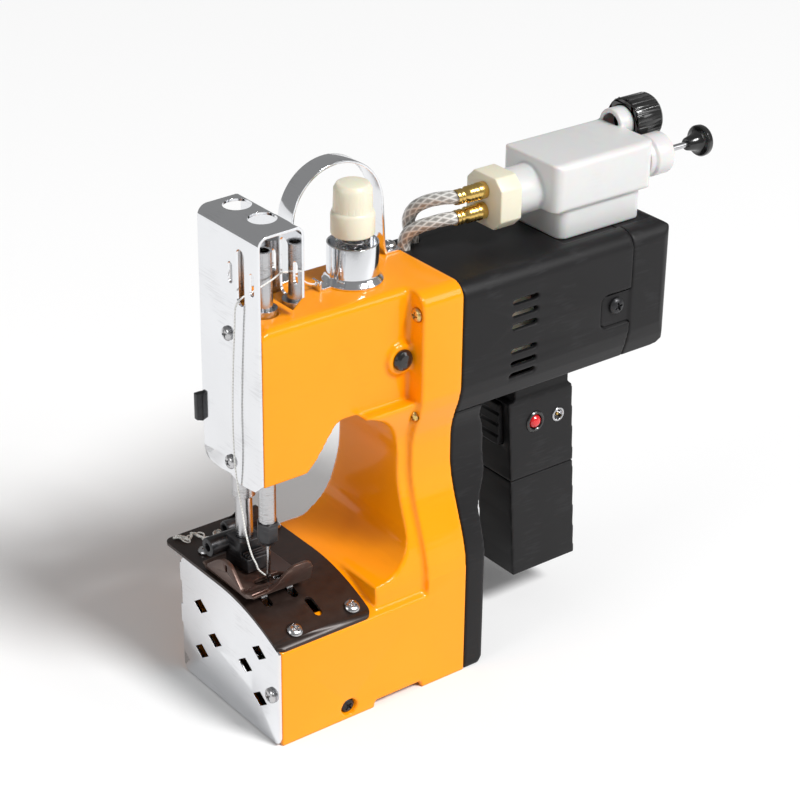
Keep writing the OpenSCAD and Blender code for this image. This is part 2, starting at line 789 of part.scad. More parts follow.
module charge_socket() {
    half = grip_w / 2;
    color("lightgray") translate([socket_at[0], -half - 0.5, socket_at[1]]) rotate([-90, 0, 0]) {
        difference() {
            union() {
                cylinder(d = 7.4, h = 0.5 - seat);
                cylinder(d = 6, h = 10);
            }
            translate([0, 0, -1]) cylinder(d = 4, h = 9);
        }
        cylinder(d = 1.3, h = 8.5);
    }
}

module trigger_switch() {
    color("dimgray") block([grip_x + 12, -5, grip_z - 20], [grip_x + 24, -1, grip_z - 8]);
    color("black") block([grip_x + 12, 1, grip_z - 20], [grip_x + 24, 5, grip_z - 8]);
    color("dimgray") block([grip_x + 14, -5, grip_z - 8.1], [grip_x + 22, 5, grip_z - 3 - seat]);
}

module trigger() {
    color([0.1, 0.1, 0.1]) difference() {
        union() {
            block([grip_x - 1.4, -7, trigger_z[0]], [grip_x + 5, 7, trigger_z[1]]);
            block([grip_x + skin + 1.5, -5, trigger_z[0] + 6], [grip_x + 6.5, 5, trigger_z[1] - 6]);
        }
        for (z = [trigger_z[0] + 5, trigger_z[0] + 11, trigger_z[0] + 17])
            rod_y(2, -8, 8, grip_x - 1.7, z);
    }
}

module power_button() {
    half = grip_w / 2;
    color("red") translate([button_at[0], -half - 1.6, button_at[1]]) rotate([-90, 0, 0])
        rotate_extrude() polygon(concat(
            [[0, 0], [1.2, 0.06], [2.2, 0.4], [3, 1.1], [3.5, 2.2], [3.5, skin + 1.8],
             [4.8, skin + 1.8], [4.8, skin + 3], [0, skin + 3]]));
}

module battery_case() {
    half = grip_w / 2;
    color([0.16, 0.16, 0.17]) difference() {
        union() {
            along_y(-half, half) grip_outline(pack_low, pack_z - 0.4);
            // Rail head that slides up into the grip case
            along_y(-half + skin + gap, half - skin - gap)
                grip_outline(pack_z - 0.5, pack_z + 6, skin + 1.2);
        }
        along_y(-half + skin, half - skin) grip_outline(pack_low + skin, pack_z - skin, skin);
        // Grooves between the finger rests
        for (z = [pack_z - 20, pack_z - 43])
            block([grip_x - 2, -half + 3, z - 0.6],
                [grip_x + (grip_z - z) * grip_lean + 0.9, half - 3, z + 0.6]);
    }
}

module battery_cells() {
    x = grip_x + (grip_z - pack_low) * grip_lean + skin;
    span = grip_l - 2 * skin - battery_h * grip_lean - 1;
    d = min(cell_d, span / 2 - 0.3, grip_w - 2 * skin - 0.6);
    color("steelblue") for (i = [0, 1])
        rod_z(d, pack_low + skin + seat, pack_z - skin - 3, x + 0.8 + d / 2 + i * (d + 0.4), 0);
}

// ---------------------------------------------------------------- motor and drive

stator_x = [vent_x - 2, vent_x + 34];
armature_x = [vent_x + 2, vent_x + 31];
commutator_x = [vent_x + 41, vent_x + 52];
fan_x = bulk_x + bearing_w + 2;

module motor_stator() {
    color("tan") translate([stator_x[0], 0, motor_z]) rotate([0, 90, 0]) difference() {
        union() {
            cylinder(d = stator_d, h = stator_x[1] - stator_x[0] - 8);
            translate([0, 0, stator_x[1] - stator_x[0] - 8.1]) cylinder(d = stator_d - 8, h = 8.1);
        }
        translate([0, 0, -1]) cylinder(d = stator_bore, h = 100);
    }
}

module bearing(x, z) {
    translate([x, 0, z]) rotate([0, 90, 0]) {
        ring(bearing_od, bearing_od - 4, bearing_w);
        translate([0, 0, 0.6]) ring(bearing_od - 3.9, shaft_d + 3.9, bearing_w - 1.2);
        ring(shaft_d + 4, shaft_d + 2 * run, bearing_w);
    }
}

module motor_bearings() {
    color("lightsteelblue") {
        bearing(bulk_x + 1 + seat, motor_z);
        bearing(cap_x + 6 - seat, motor_z);
    }
}

module shaft_bearings() {
    color("lightsteelblue") {
        bearing(web_x + 0.5, shaft_z);
        bearing(rear_x - bearing_w - 1.5, shaft_z);
    }
}

module armature() {
    color("peru") rod_x(shaft_d, belt_x - belt_w / 2 - 1.5, cap_x + 6 + bearing_w, 0, motor_z);
    color("peru") rod_x(stator_bore - 2 * gap - 0.4, armature_x[0], armature_x[1], 0, motor_z);
    color("peru") rod_x(shaft_d + 14, commutator_x[0], commutator_x[1], 0, motor_z);
}

module cooling_fan() {
    color("ivory") translate([fan_x, 0, motor_z]) rotate([0, 90, 0]) {
        ring(shaft_d + 8, shaft_d + 0.02, 8);
        ring(44, shaft_d + 6, 1.5);
        for (i = [0:8]) rotate(40 * i) translate([shaft_d / 2 + 3, -0.8, 1.4]) cube([14, 1.6, 6]);
    }
}

module pulley(teeth, x, z) {
    r = teeth * belt_pitch / (2 * PI);
    translate([x, 0, z]) rotate([0, 90, 0]) {
        difference() {
            cylinder(r = r - 0.6, h = belt_w + 1);
            for (i = [0:teeth - 1]) rotate(360 / teeth * i) translate([r - 0.6, 0, -1])
                cylinder(d = 1, h = belt_w + 3, $fn = 6);
            translate([0, 0, -1]) cylinder(d = shaft_d + 0.02, h = belt_w + 4);
        }
        for (h = [-0.8, belt_w + 1]) translate([0, 0, h]) ring(2 * r + 0.4, shaft_d + 0.02, 0.8);
    }
}

module motor_pulley() {
    color("silver") pulley(motor_teeth, belt_x - belt_w / 2 - 0.5, motor_z);
}

module main_pulley() {
    color("silver") pulley(main_teeth, belt_x - belt_w / 2 - 0.5, shaft_z);
}

// Loop around both pulleys, drawn from the tangent points
module belt_outline(grow) {
    r1 = motor_pr + grow;
    r2 = main_pr + grow;
    a = asin((r2 - r1) / (motor_z - shaft_z));
    polygon(concat(arc(0, motor_z, r1, a, 180 - a, 20), arc(0, shaft_z, r2, 180 - a, 360 + a, 40)));
}

module drive_belt() {
    color("black") along_x(belt_x - belt_w / 2, belt_x + belt_w / 2) difference() {
        belt_outline(belt_t);
        belt_outline(gap + 0.1);
    }
}

rod_cam_d = 18;
feed_cam_d = 12;
looper_cam_d = 10;
rod_w = 6;

module main_shaft() {
    color("slategray") {
        rod_x(shaft_d, -10, rear_x + 8.4, 0, shaft_z);
        rod_x(rod_cam_d, link_x - rod_w / 2 - 1, link_x + rod_w / 2 + 1, rod_throw, shaft_z);
        rod_x(feed_cam_d, -9.5, -4.5, -2.4, shaft_z);
        rod_x(looper_cam_d, 7, 12, 0, shaft_z + 0.9);
    }
}

rod_ring = rod_cam_d / 2 + rod_throw + rod_arm * 0.3 + 0.8;

module connecting_rod() {
    color("gray") difference() {
        union() {
            rod_x(2 * rod_ring + 6, link_x - rod_w / 2, link_x + rod_w / 2, 0, shaft_z);
            block([link_x - rod_w / 2, -3.5, shaft_z + rod_ring + 1], [link_x + rod_w / 2, 3.5, lever_z - 4]);
            rod_y(13, -3.5, 3.5, link_x, lever_z);
        }
        rod_x(2 * rod_ring, link_x - rod_w, link_x + rod_w, 0, shaft_z);
        along_y(-5, 5) translate([0, 0])
            rounded(link_x - 3.6, lever_z - 2.9, link_x + 3.6, lever_z + 2.9, 2.8);
    }
}

lever_arms = [[-16.5, -12.5], [0.5, 4.5]];

module needle_lever() {
    color("darkgray") difference() {
        union() {
            rod_y(15, -16.5, 14, lever_x, lever_z);
            for (a = lever_arms) along_y(a[0], a[1]) polygon([
                [-7.4, lever_z - 6], [10, lever_z - 5], [lever_x, lever_z - 7], [lever_x, lever_z + 7],
                [10, lever_z + 5], [-7.4, lever_z + 6]]);
            for (s = [-1, 1]) along_y(s > 0 ? 4.5 : -8.5, s > 0 ? 8.5 : -4.5) polygon([
                [lever_x, lever_z - 6], [link_x, lever_z - 4.5], [link_x + 4, lever_z],
                [link_x, lever_z + 4.5], [lever_x, lever_z + 6]]);
            rod_y(pin_d, -5, 5, link_x, lever_z);
        }
        rod_y(8 + 2 * run, -20, 20, lever_x, lever_z);
        // Slots for the pins of the bar clamp
        for (a = lever_arms) along_y(a[0] - 1, a[1] + 1)
            rounded(-5.7, lever_z - 3, 3.2, lever_z + 3, 2.9);
    }
}

module lever_pin() {
    color("black") {
        rod_y(8, -boss_y, arm_w / 2, lever_x, lever_z);
        translate([lever_x, -boss_y, lever_z]) rotate([90, 0, 0]) rotate_extrude()
            polygon([[0, -0.1], [3.9, -0.1], [3.9, seat], [5, seat], [5, 0.8], [4.4, 1.8], [3, 2.6], [0, 3]]);
    }
}

// ---------------------------------------------------------------- needle line

module needle_bar_bushes() {
    color("dimgray") for (z = [arm_under - 2, arm_top - wall - 3])
        translate([0, needle_y, z]) ring(needle_bar_d + 4, needle_bar_d + 2 * run, 9);
}

module needle_bar() {
    color("silver") difference() {
        union() {
            rod_z(needle_bar_d, bar_bottom, bar_top, 0, needle_y);
            rod_z(6, nut_z, bar_bottom + 1, 0, needle_y);
        }
        rod_z(needle_bar_d - 2.4, bar_top - 12, bar_top + 1, 0, needle_y);
        rod_z(needle_d + 2 * seat, nut_z - 1, nut_z + 10, 0, needle_y);
    }
}

module bar_clamp() {
    color("slategray") difference() {
        union() {
            block([-6.5, needle_y - 5.4, lever_z - 7], [6.5, needle_y + 5.4, lever_z + 7]);
            for (s = [-1, 1])
                rod_y(pin_d, s > 0 ? needle_y + 5 : lever_arms[0][0], s > 0 ? lever_arms[1][1] : needle_y - 5,
                    0, lever_z);
        }
        rod_z(needle_bar_d + 0.02, lever_z - 20, lever_z + 20, 0, needle_y);
    }
}

module needle_nut() {
    color([0.13, 0.13, 0.13]) difference() {
        union() {
            translate([0, needle_y, nut_z - 5.6]) cylinder(d = 10.4, h = 9.4, $fn = 6);
            translate([0, needle_y, nut_z - 8]) cylinder(d1 = 5.6, d2 = 8.4, h = 2.5);
        }
        rod_z(6 + 0.02, nut_z, nut_z + 10, 0, needle_y);
        rod_z(needle_d + 2 * seat, nut_z - 20, nut_z + 1, 0, needle_y);
    }
}

module needle() {
    color("silver") difference() {
        union() {
            rod_z(needle_d, needle_tip + 8, nut_z + 9, 0, needle_y);
            translate([0, needle_y, needle_tip]) cylinder(d1 = 0.3, d2 = needle_d, h = 8.1);
        }
        rod_y(0.8, needle_y - 2, needle_y + 2, 0, needle_tip + 9);
    }
}

// Looper with its rocking shaft and fork, made in one
module looper() {
    color("silver") difference() {
        union() {
            rod_x(looper_d, -4, web_x + web_t + 6, looper_y, looper_z);
            rod_x(12, 2.2, 12.5, looper_y, looper_z);
            // Arm and hook behind the needle
            along_x(2.2, 4.6) polygon([[24, 38], [18, 42], [10, 46], [-2, 50.2], [-9, 49.4],
                [-1, 46.8], [9, 42.5], [15, 38.5], [19, 31], [25, 31]]);
            // Fork around the eccentric
            for (s = [-1, 1])
                block([7.5, -7, shaft_z + s * 13.5 - 1.5], [11.5, looper_y - 4, shaft_z + s * 13.5 + 1.5]);
            block([7.5, looper_y - 7, shaft_z - 15], [11.5, looper_y - 3, shaft_z + 15]);
        }
    }
}

module feed_dog() {
    color("silver") difference() {
        union() {
            for (s = [-1, 1]) {
                block([s * 7 - 1.6, -13, base_h - 12], [s * 7 + 1.6, 9, base_h + 0.2]);
                for (i = [0:7]) along_x(s * 7 - 1.6, s * 7 + 1.6) translate([-13 + i * 2.75, base_h + 0.1])
                    polygon([[0, 0], [2.75, 0], [0.4, 1]]);
                block([s * 7 - 1.6, 8, base_h - 12], [s * 7 + 1.6, 17, base_h - 6]);
            }
            block([-8.6, 13, base_h - 13], [8.6, 18, base_h - 5.4]);
            rod_y(guide_d + 4, 13, 31, 0, guide_z);
            // Prongs on each side of the feed eccentric
            for (y = [-16, 12]) block([-8.6, y, shaft_z - 8], [-5.4, y + 4, base_h - 8]);
            block([-8.6, -16, base_h - 12], [-5.4, -12, base_h - 8]);
        }
        rod_y(guide_d + 2 * run, 16, 40, 0, guide_z);
    }
}

module presser_bar_sleeve() {
    color("silver") translate([0, presser_y, arm_under - 22])
        ring(presser_bar_d + 3, presser_bar_d + 2 * run, 31);
}

collar_z = arm_under + 22;
module presser_bar() {
    color("silver") {
        rod_z(presser_bar_d, base_h + 13, arm_top + 24, 0, presser_y);
        // Collar that the spring and the lift lever act on
        rod_z(presser_bar_d + 4, collar_z, collar_z + 6, 0, presser_y);
    }
}

foot_z0 = base_h + plate_t + 0.6;
module presser_shank() {
    color([0.12, 0.12, 0.12]) difference() {
        union() {
            block([-6.5, 7, foot_z0 + 2 + seat], [6.5, 19, foot_z0 + 16]);
            // Ribbed nose towards the needle
            block([-6.5, 1, foot_z0 + 3.2], [6.5, 7.1, foot_z0 + 10]);
            for (i = [0:2]) block([-5.5, 2 + i * 1.8, foot_z0 + 9.9], [5.5, 2.8 + i * 1.8, foot_z0 + 11.4]);
            // Cross pin with its socket head
            rod_x(9, -15.6, 1, 20.5, foot_z0 + 11);
        }
        rod_z(presser_bar_d + 0.02, base_h + 13, base_h + 40, 0, presser_y);
        rod_x(4, -17, -12, 20.5, foot_z0 + 11);
    }
}

// Foot with a raised wing on the entry side and an ear at the front
module presser_foot() {
    t = 2;
    x0 = -16.5;
    color([0.3, 0.18, 0.14]) difference() {
        union() {
            along_x(x0, 15) polygon([[21, foot_z0], [24, foot_z0 + 1.6], [23, foot_z0 + 3],
                [20.4, foot_z0 + t], [-11, foot_z0 + t], [-16.5, foot_z0 + 4.5], [-17.9, foot_z0 + 3],
                [-12, foot_z0]]);
            // Wing that rises towards the rear
            intersection() {
                along_x(x0, 15) polygon([[-16.2, foot_z0 + 3.6], [-19.5, foot_z0 + 15],
                    [-21.3, foot_z0 + 14.6], [-18, foot_z0 + 2.6]]);
                along_y(-30, 0) translate([0, foot_z0]) polygon([[x0, 2], [x0, 4], [-8, 4.2],
                    [-4, 6.5], [-1, 10.2], [1.5, 13], [4.5, 14.4], [10.5, 14.4], [13.3, 13],
                    [15, 10], [15, 2]]);
            }
            // Ear at the front
            along_x(x0, x0 + t) translate([0, foot_z0]) polygon([[20, 1.5], [19.8, 3], [14.6, 7],
                [10.5, 9.8], [7.5, 11.2], [4.5, 11.7], [1.5, 11.2], [-1, 9.6], [-7.9, 2.6],
                [-8, 1.5]]);
        }
        // Needle slot and the ear's slotted hole
        translate([0, needle_y, foot_z0 - 1]) linear_extrude(6) slot(-7.5, 8, 0, 5);
        along_x(x0 - 1, x0 + 3) translate([3.8, foot_z0 + 8.2]) rotate(90) slot(-1.6, 1.6, 0, 1.6);
    }
}

module presser_spring() {
    color("silver") coil_spring(0, presser_y, collar_z + 6 + seat, arm_top - wall - 3,
        presser_bar_d / 2 + 1.2, presser_bar_d / 2 + 1.2, 1.2, 7);
}

module lift_lever() {
    out = arm_w / 2 + 0.4;
    color("dimgray") difference() {
        union() {
            rod_y(6, presser_y + 4.4, out + 1, lift_x, lift_z);
            along_y(out, out + 2.6) polygon(concat(
                arc(lift_x, lift_z, 6.5, -60, 100, 8),
                [[-14, lift_z + 9], [-17, lift_z + 9]], [[-17, lift_z - 4]],
                arc(lift_x - 4, lift_z - 8, 5, 200, 290, 4)));
            // Toe that reaches under the collar
            block([-4, presser_y + 4.4, lift_z - 3], [lift_x, presser_y + 6, lift_z + 1.4]);
        }
        rod_y(3, out - 3, out + 1.6, lift_x, lift_z);
    }
}

// ---------------------------------------------------------------- thread tension and arch

module tension_cup() {
    r = cup_d / 2;
    color("gainsboro") translate([tension_x, 0, 0]) difference() {
        union() {
            rotate_extrude() polygon([[0, arm_top + 0.05], [13.9, arm_top + 0.05], [13.9, arm_top + 1],
                [r + 0.4, arm_top + 3], [r, cup_z], [r, cup_z + cup_h], [r - 0.9, cup_z + cup_h],
                [r - 0.9, cup_z + 1], [0, cup_z + 1]]);
            // Stud for the thumb nut
            rod_z(6, arm_top - 7, nut_z0 + nut_h - 5);
            // Thread guide tab
            block([-20, -3, arm_top + 0.05], [-12, 3, arm_top + 1.2]);
            block([-20, -3, arm_top + 0.1], [-18.8, 3, arm_top + 4.5]);
        }
        rod_x(1.8, -25, -15, 0, arm_top + 3);
    }
}

module tension_discs() {
    color("gainsboro") for (i = [0, 1]) translate([tension_x, 0, cup_z + 1.1 + i * 1.3])
        rotate_extrude() polygon([[3.2, 0], [7.5, 0], [8.8, 0.5], [8.8, 1.1], [7.4, 0.7], [3.2, 0.7]]);
}

module tension_spring() {
    color("silver") coil_spring(tension_x, 0, cup_z + 3.3, nut_z0 + 3, 7.6, 5.2, 1.1, 5);
}

module tension_nut() {
    color("cornsilk") difference() {
        union() {
            translate([tension_x, 0, nut_z0]) rotate_extrude() polygon([[0, 0], [9.2, 0], [9.9, 0.8],
                [9.9, 9.5], [9.4, 11], [8.9, 11.4], [8.6, nut_h - 2.4], [7.4, nut_h - 0.4],
                [6.6, nut_h], [0, nut_h]]);
        }
        for (i = [0:17]) rotate_about_tension(20 * i) translate([tension_x + 9.5, 0, nut_z0 + 12])
            cylinder(d = 1.4, h = nut_h);
        rod_z(6 + 2 * run, nut_z0 - 1, nut_z0 + nut_h - 4, tension_x, 0);
        rod_z(13.4, nut_z0 - 1, nut_z0 + 4, tension_x, 0);
    }
}

module rotate_about_tension(a) {
    translate([tension_x, 0, 0]) rotate(a) translate([-tension_x, 0, 0]) children();
}

strap_y = [12.5, 23.3];
module thread_arch() {
    r = 24.5;
    x = tension_x + 1.3;
    z = arm_top + 26;
    t = 1.2;
    foot = arm_top + 0.05;
    color("gainsboro") difference() {
        along_y(strap_y[0], strap_y[1]) polygon(concat(
            [[rear_x - 0.5, foot], [rear_x - 0.5, foot + t], [x + r + 3.2, foot + t], [x + r + 2, foot + 4]],
            arc(x, z, r + t / 2, 0, 180, 32),
            [[x - r - t / 2, foot + t], [18.5, foot + t], [18.5, foot], [x - r + t / 2, foot]],
            arc(x, z, r - t / 2, 180, 0, 32),
            [[x + r + 0.7, foot + 4], [x + r + 1.9, foot]]
        ));
        for (p = arch_screws) rod_z(4 + 2 * seat, arm_top - 1, arm_top + 4, p[0], p[1]);
    }
}

// ---------------------------------------------------------------- oil system

module oil_bottle() {
    half = bottle_w / 2;
    color([0.93, 0.93, 0.9, 0.9]) difference() {
        union() {
            intersection() {
                translate([0, 0, bottle_step]) linear_extrude(bottle_top - bottle_step)
                    rounded(bottle_x, -half, bottle_x + bottle_l, half, 5);
                along_x(bottle_x - 1, bottle_x + bottle_l + 1)
                    rounded(-half, bottle_step - 1, half, bottle_top, 3.5);
            }
            translate([0, 0, bottle_z]) linear_extrude(bottle_step - bottle_z + 0.5)
                rounded(bottle_x + 6, -half + 2.8, bottle_x + bottle_l - 4, half - 2.8, 5);
            rod_x(neck_d, bottle_x - neck_len, bottle_x + 1, 0, neck_z);
            rod_x(16, bottle_x + bottle_l - 2.1, bottle_x + bottle_l + 12, fill_y, fill_z);
        }
        // Hollow with its pump bore
        block([bottle_x + 2, -half + 2, bottle_step + 2],
            [bottle_x + bottle_l - 2, half - 2, bottle_top - 2]);
        block([bottle_x + 8, -half + 5, bottle_z + 2],
            [bottle_x + bottle_l - 6, half - 5, bottle_step + 3]);
        rod_x(12, bottle_x + bottle_l - 2, bottle_x + bottle_l + 14, fill_y, fill_z);
        rod_x(neck_d - 8, bottle_x - neck_len - 1, bottle_x + 3, 0, neck_z);
        rod_x(14 + 2 * seat, bottle_x + bottle_l - 3, bottle_x + bottle_l + 2, pump_y, pump_z);
    }
}

module hose_manifold() {
    s = 12.6;
    color("cornsilk") difference() {
        along_x(barb_x, manifold_x - seat) translate([0, neck_z])
            polygon([[s, s - 5], [s - 5, s], [5 - s, s], [-s, s - 5], [-s, 5 - s], [5 - s, -s],
                [s - 5, -s], [s, 5 - s]]);
        for (z = barb_z) rod_x(5 + 2 * seat, barb_x - 1, barb_x + 7, 0, z);
        rod_x(14, manifold_x - 4, manifold_x + 1, 0, neck_z);
    }
}

barb_l = 13;
module hose_barbs() {
    color("goldenrod") for (z = barb_z) translate([barb_x - barb_l, 0, z]) rotate([0, 90, 0])
        difference() {
            union() {
                rotate_extrude() polygon([[0, 0], [2.2, 0], [2.9, 1.2], [4, 3], [3.4, 3.2], [4, 5],
                    [3.4, 5.2], [4, 7], [3.4, 7.2], [4.1, 9], [4.1, barb_l - seat], [0, barb_l - seat]]);
                cylinder(d = 5, h = barb_l + 6);
            }
            translate([0, 0, -1]) cylinder(d = 2.4, h = barb_l + 8);
        }
}

// Centre lines of the two hoses
upper_route = [[112.3, 0, 225], [110.6, 0, 225], [107.6, 1.7, 224.9], [104.4, 4.6, 224.3],
    [100.5, 9.5, 222.2], [97.8, 15, 218], [97.4, 19, 212], [99, 21, 206], [101.5, 21.5, 200.8], [101.5, 21.5, 194.2]];
lower_route = [[112.3, 0, 215], [110.6, 0, 215], [107.6, 0.7, 215], [104.5, 2.4, 214.6], [100, 5.6, 213],
    [96, 10, 210.4], [93.4, 14, 206.6], [93, 16.6, 201.6], [93, 17, 194.2]];

function lifted(route) = [for (p = route) p + [rear_x - 89, 0, arm_top - 200]];

module oil_hose_upper() {
    color([0.85, 0.85, 0.82]) tube(lifted(upper_route), hose_d);
}

module oil_hose_lower() {
    color([0.85, 0.85, 0.82]) tube(lifted(lower_route), hose_d);
}

module pump_cylinder() {
    color("white") translate([pump_x + seat, pump_y, pump_z]) rotate([0, 90, 0]) difference() {
        union() {
            rotate_extrude() polygon([[0, 0], [9, 0], [9, 3], [pump_r - 0.8, 3.4], [pump_r, 4.4],
                [pump_r, pump_len - 1.5], [pump_r - 1.5, pump_len], [0, pump_len]]);
            translate([0, 0, -20]) cylinder(d = 14, h = 20.1);
        }
        translate([0, 0, -18]) cylinder(d = 9, h = pump_len + 14.5);
        translate([0, 0, -30]) cylinder(d = 3, h = 80);
        translate([0, 0, -5]) cylinder(d = 3 + 2 * run, h = 60);
    }
}

knob_x = pump_x + pump_len + 15.5;
module pump_plunger() {
    color("black") translate([knob_x, pump_y, pump_z]) rotate([0, 90, 0]) rotate_extrude()
        polygon([[0, 0], [3, 0], [4, 4], [4.6, 7], [7.7, 8], [7.7, 11], [6.8, 11.8], [0, 11.8]]);
    color("silver") {
        rod_x(3, pump_x - 3 + 2, knob_x + 1, pump_y, pump_z);
        rod_x(9 - 2 * run, pump_x - 2, pump_x + 2, pump_y, pump_z);
    }
}

module plunger_spring() {
    color("silver") translate([0, pump_y, pump_z]) rotate([0, 90, 0])
        coil_spring(0, 0, pump_x - 17.5, pump_x - 2.3, 3.4, 3.4, 0.7, 4);
}

module oil_cap() {
    x = pump_x + 6;
    color([0.12, 0.12, 0.12]) difference() {
        translate([x, fill_y, fill_z]) rotate([0, 90, 0]) rotate_extrude() polygon([
            [0, 7], [8.4, 7], [8.4, 0], [11, 0], [11.5, 0.8], [11.5, 15], [10.6, 16.4], [9.2, 17], [0, 17]]);
        for (i = [0:23]) translate([x - 1, fill_y, fill_z]) rotate([15 * i, 0, 0]) rotate([0, 90, 0])
            translate([11.9, 0, 0]) cylinder(d = 1.4, h = 18);
    }
}

// ---------------------------------------------------------------- thread and cutter

module thread_cutter() {
    color([0.1, 0.1, 0.1]) difference() {
        union() {
            block([14, 26, base_h + plate_t + 0.05], [26, 37, base_h + plate_t + 3]);
            along_y(35, 37) polygon([[10, base_h + plate_t + 1], [26, base_h + plate_t + 1],
                [26, base_h + plate_t + 10], [22, base_h + plate_t + 14], [10, base_h + plate_t + 14]]);
            rod_x(8, 2, 10.1, 33, base_h + plate_t + 9);
        }
        rod_x(4, 1, 5, 33, base_h + plate_t + 9);
    }
    color("silver") block([4, 30.6, base_h + plate_t + 0.05], [14 - seat, 31.6, base_h + plate_t + 4]);
}

thread_route = [[34.6, 0, 203], [30.4, -0.2, 203.1], [25, -2.2, 206], [18, -5, 212],
    [9, -8.2, 217.4], [0, -11.6, 217],
    [-8, -10.8, 214], [-13.4, -9.6, 211.8], [-16.2, -8.8, 208], [-16.4, -7.9, 198], [-16.5, -6.2, 178],
    [-16.5, -5, 156], [-16.3, -5.2, 134], [-15, -5.4, 119], [-13, -5.5, 105], [-11.2, -5.5, 93],
    [-8.6, -5.6, 82], [-6.4, -5.8, 76.5], [-5.2, -5.9, 73], [-1.7, -6, 68.9]];

module needle_thread() {
    rise = arm_top - 200;
    color("white") tube([for (p = thread_route)
        p + [p[0] > 20 ? tension_x - 51.5 : 0, 0, rise * ease((p[2] - 90) / 50)]], 0.8);
}

tail_route = [[8, 40, 64.6], [4, 43, 65.4], [0, 42, 64.9], [-3, 45, 64.8], [-5.4, 48.5, 65.6],
    [-9, 47.4, 64.9], [-12, 50, 65.2], [-14.4, 53, 64.8]];

module thread_tail() {
    color("white") tube([for (p = tail_route)
        p + [0, plate_over - 15, base_h + plate_t - 63.8]], 1.6);
}

// ---------------------------------------------------------------- fasteners

module pan_screw(head = 7.4, height = 2.4, shank = 4, length = 7) {
    difference() {
        union() {
            rotate_extrude() polygon([[0, 0], [head / 2, 0], [head / 2, height * 0.4],
                [head * 0.36, height * 0.85], [head * 0.2, height], [0, height]]);
            translate([0, 0, -length]) cylinder(d = shank, h = length + 0.1);
        }
        for (a = [0, 90]) rotate(a)
            translate([-head * 0.3, -0.45, height - 1.1]) cube([head * 0.6, 0.9, 2]);
    }
}

module facing_front(x, y, z) {
    translate([x, y, z]) rotate([0, -90, 0]) children();
}

module pan_screws() {
    color("silver") {
        for (z = face_screws_z) facing_front(face_x - seat, 1, z) pan_screw(6.6);
        facing_front(front_x - seat, -base_w / 2 + 6, 25.5) pan_screw();
        for (z = left_screws_z)
            translate([casting_x + 5, base_w / 2 + 2 * seat + sheet_t, z]) rotate([-90, 0, 0])
                pan_screw(6.6);
        for (p = plate_screws)
            translate([p[0], p[1], roof(p[1])]) rotate([roof_tilt(p[1]), 0, 0])
                translate([0, 0, plate_t + 0.1]) pan_screw();
        for (p = arch_screws) translate([p[0], p[1], arm_top + 1.2 + 2 * seat]) pan_screw(6.8, 2.2, 4, 5);
        for (x = cover_screws_x) for (s = [-1, 1])
            translate([x, s * (base_w / 2 - 8), 3.4 - seat]) rotate([180, 0, 0]) pan_screw();
    }
}

module flange_screws() {
    color("goldenrod") for (p = flange_screws_yz) for (s = [-1, 1])
        facing_front(flange_x + 1.6 - seat, s * p[0], p[1]) pan_screw(6.4, 1.5, 4, 31);
}

module black_screws() {
    color([0.08, 0.08, 0.08]) for (s = [-1, 1]) {
        translate([side_screw[0], s * (base_w / 2 - 3 + seat), side_screw[1]]) rotate([-90 * s, 0, 0])
            pan_screw(7.6, 2.6, 4, 5);
        translate([cap_screw[0], s * (flange_w / 2 - 0.8 + seat), cap_screw[1]]) rotate([-90 * s, 0, 0])
            pan_screw(8.4, 1.2, 4, 9);
    }
}

// ---------------------------------------------------------------- drawing

main_frame();
bottom_cover();
front_cover();
needle_plate();
face_cover();
rear_cover();
motor_housing();
end_cap();
grip_case();
motor_stator();
motor_bearings();
shaft_bearings();
drive_belt();
needle_bar_bushes();
presser_bar_sleeve();
tension_cup();
tension_discs();
tension_spring();
thread_arch();
oil_bottle();
hose_manifold();
hose_barbs();
oil_hose_upper();
oil_hose_lower();
pump_cylinder();
thread_cutter();
needle_thread();
thread_tail();
pan_screws();
flange_screws();
black_screws();
lever_pin();
charge_socket();
trigger_switch();
armature();
cooling_fan();
motor_pulley();
main_shaft();
main_pulley();
needle_lever();
connecting_rod();
needle_bar();
bar_clamp();
needle_nut();
needle();
looper();
feed_dog();
presser_bar();
presser_shank();
presser_foot();
presser_spring();
lift_lever();
tension_nut();
oil_cap();
pump_plunger();
plunger_spring();
trigger();
power_button();
battery_case();
battery_cells();
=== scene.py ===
"""Finished surfaces, small hardware and cords of a hand-held bag closer, over its frame."""
import json
import math

import bmesh
import bpy
import numpy as np
from mathutils import Matrix, Vector

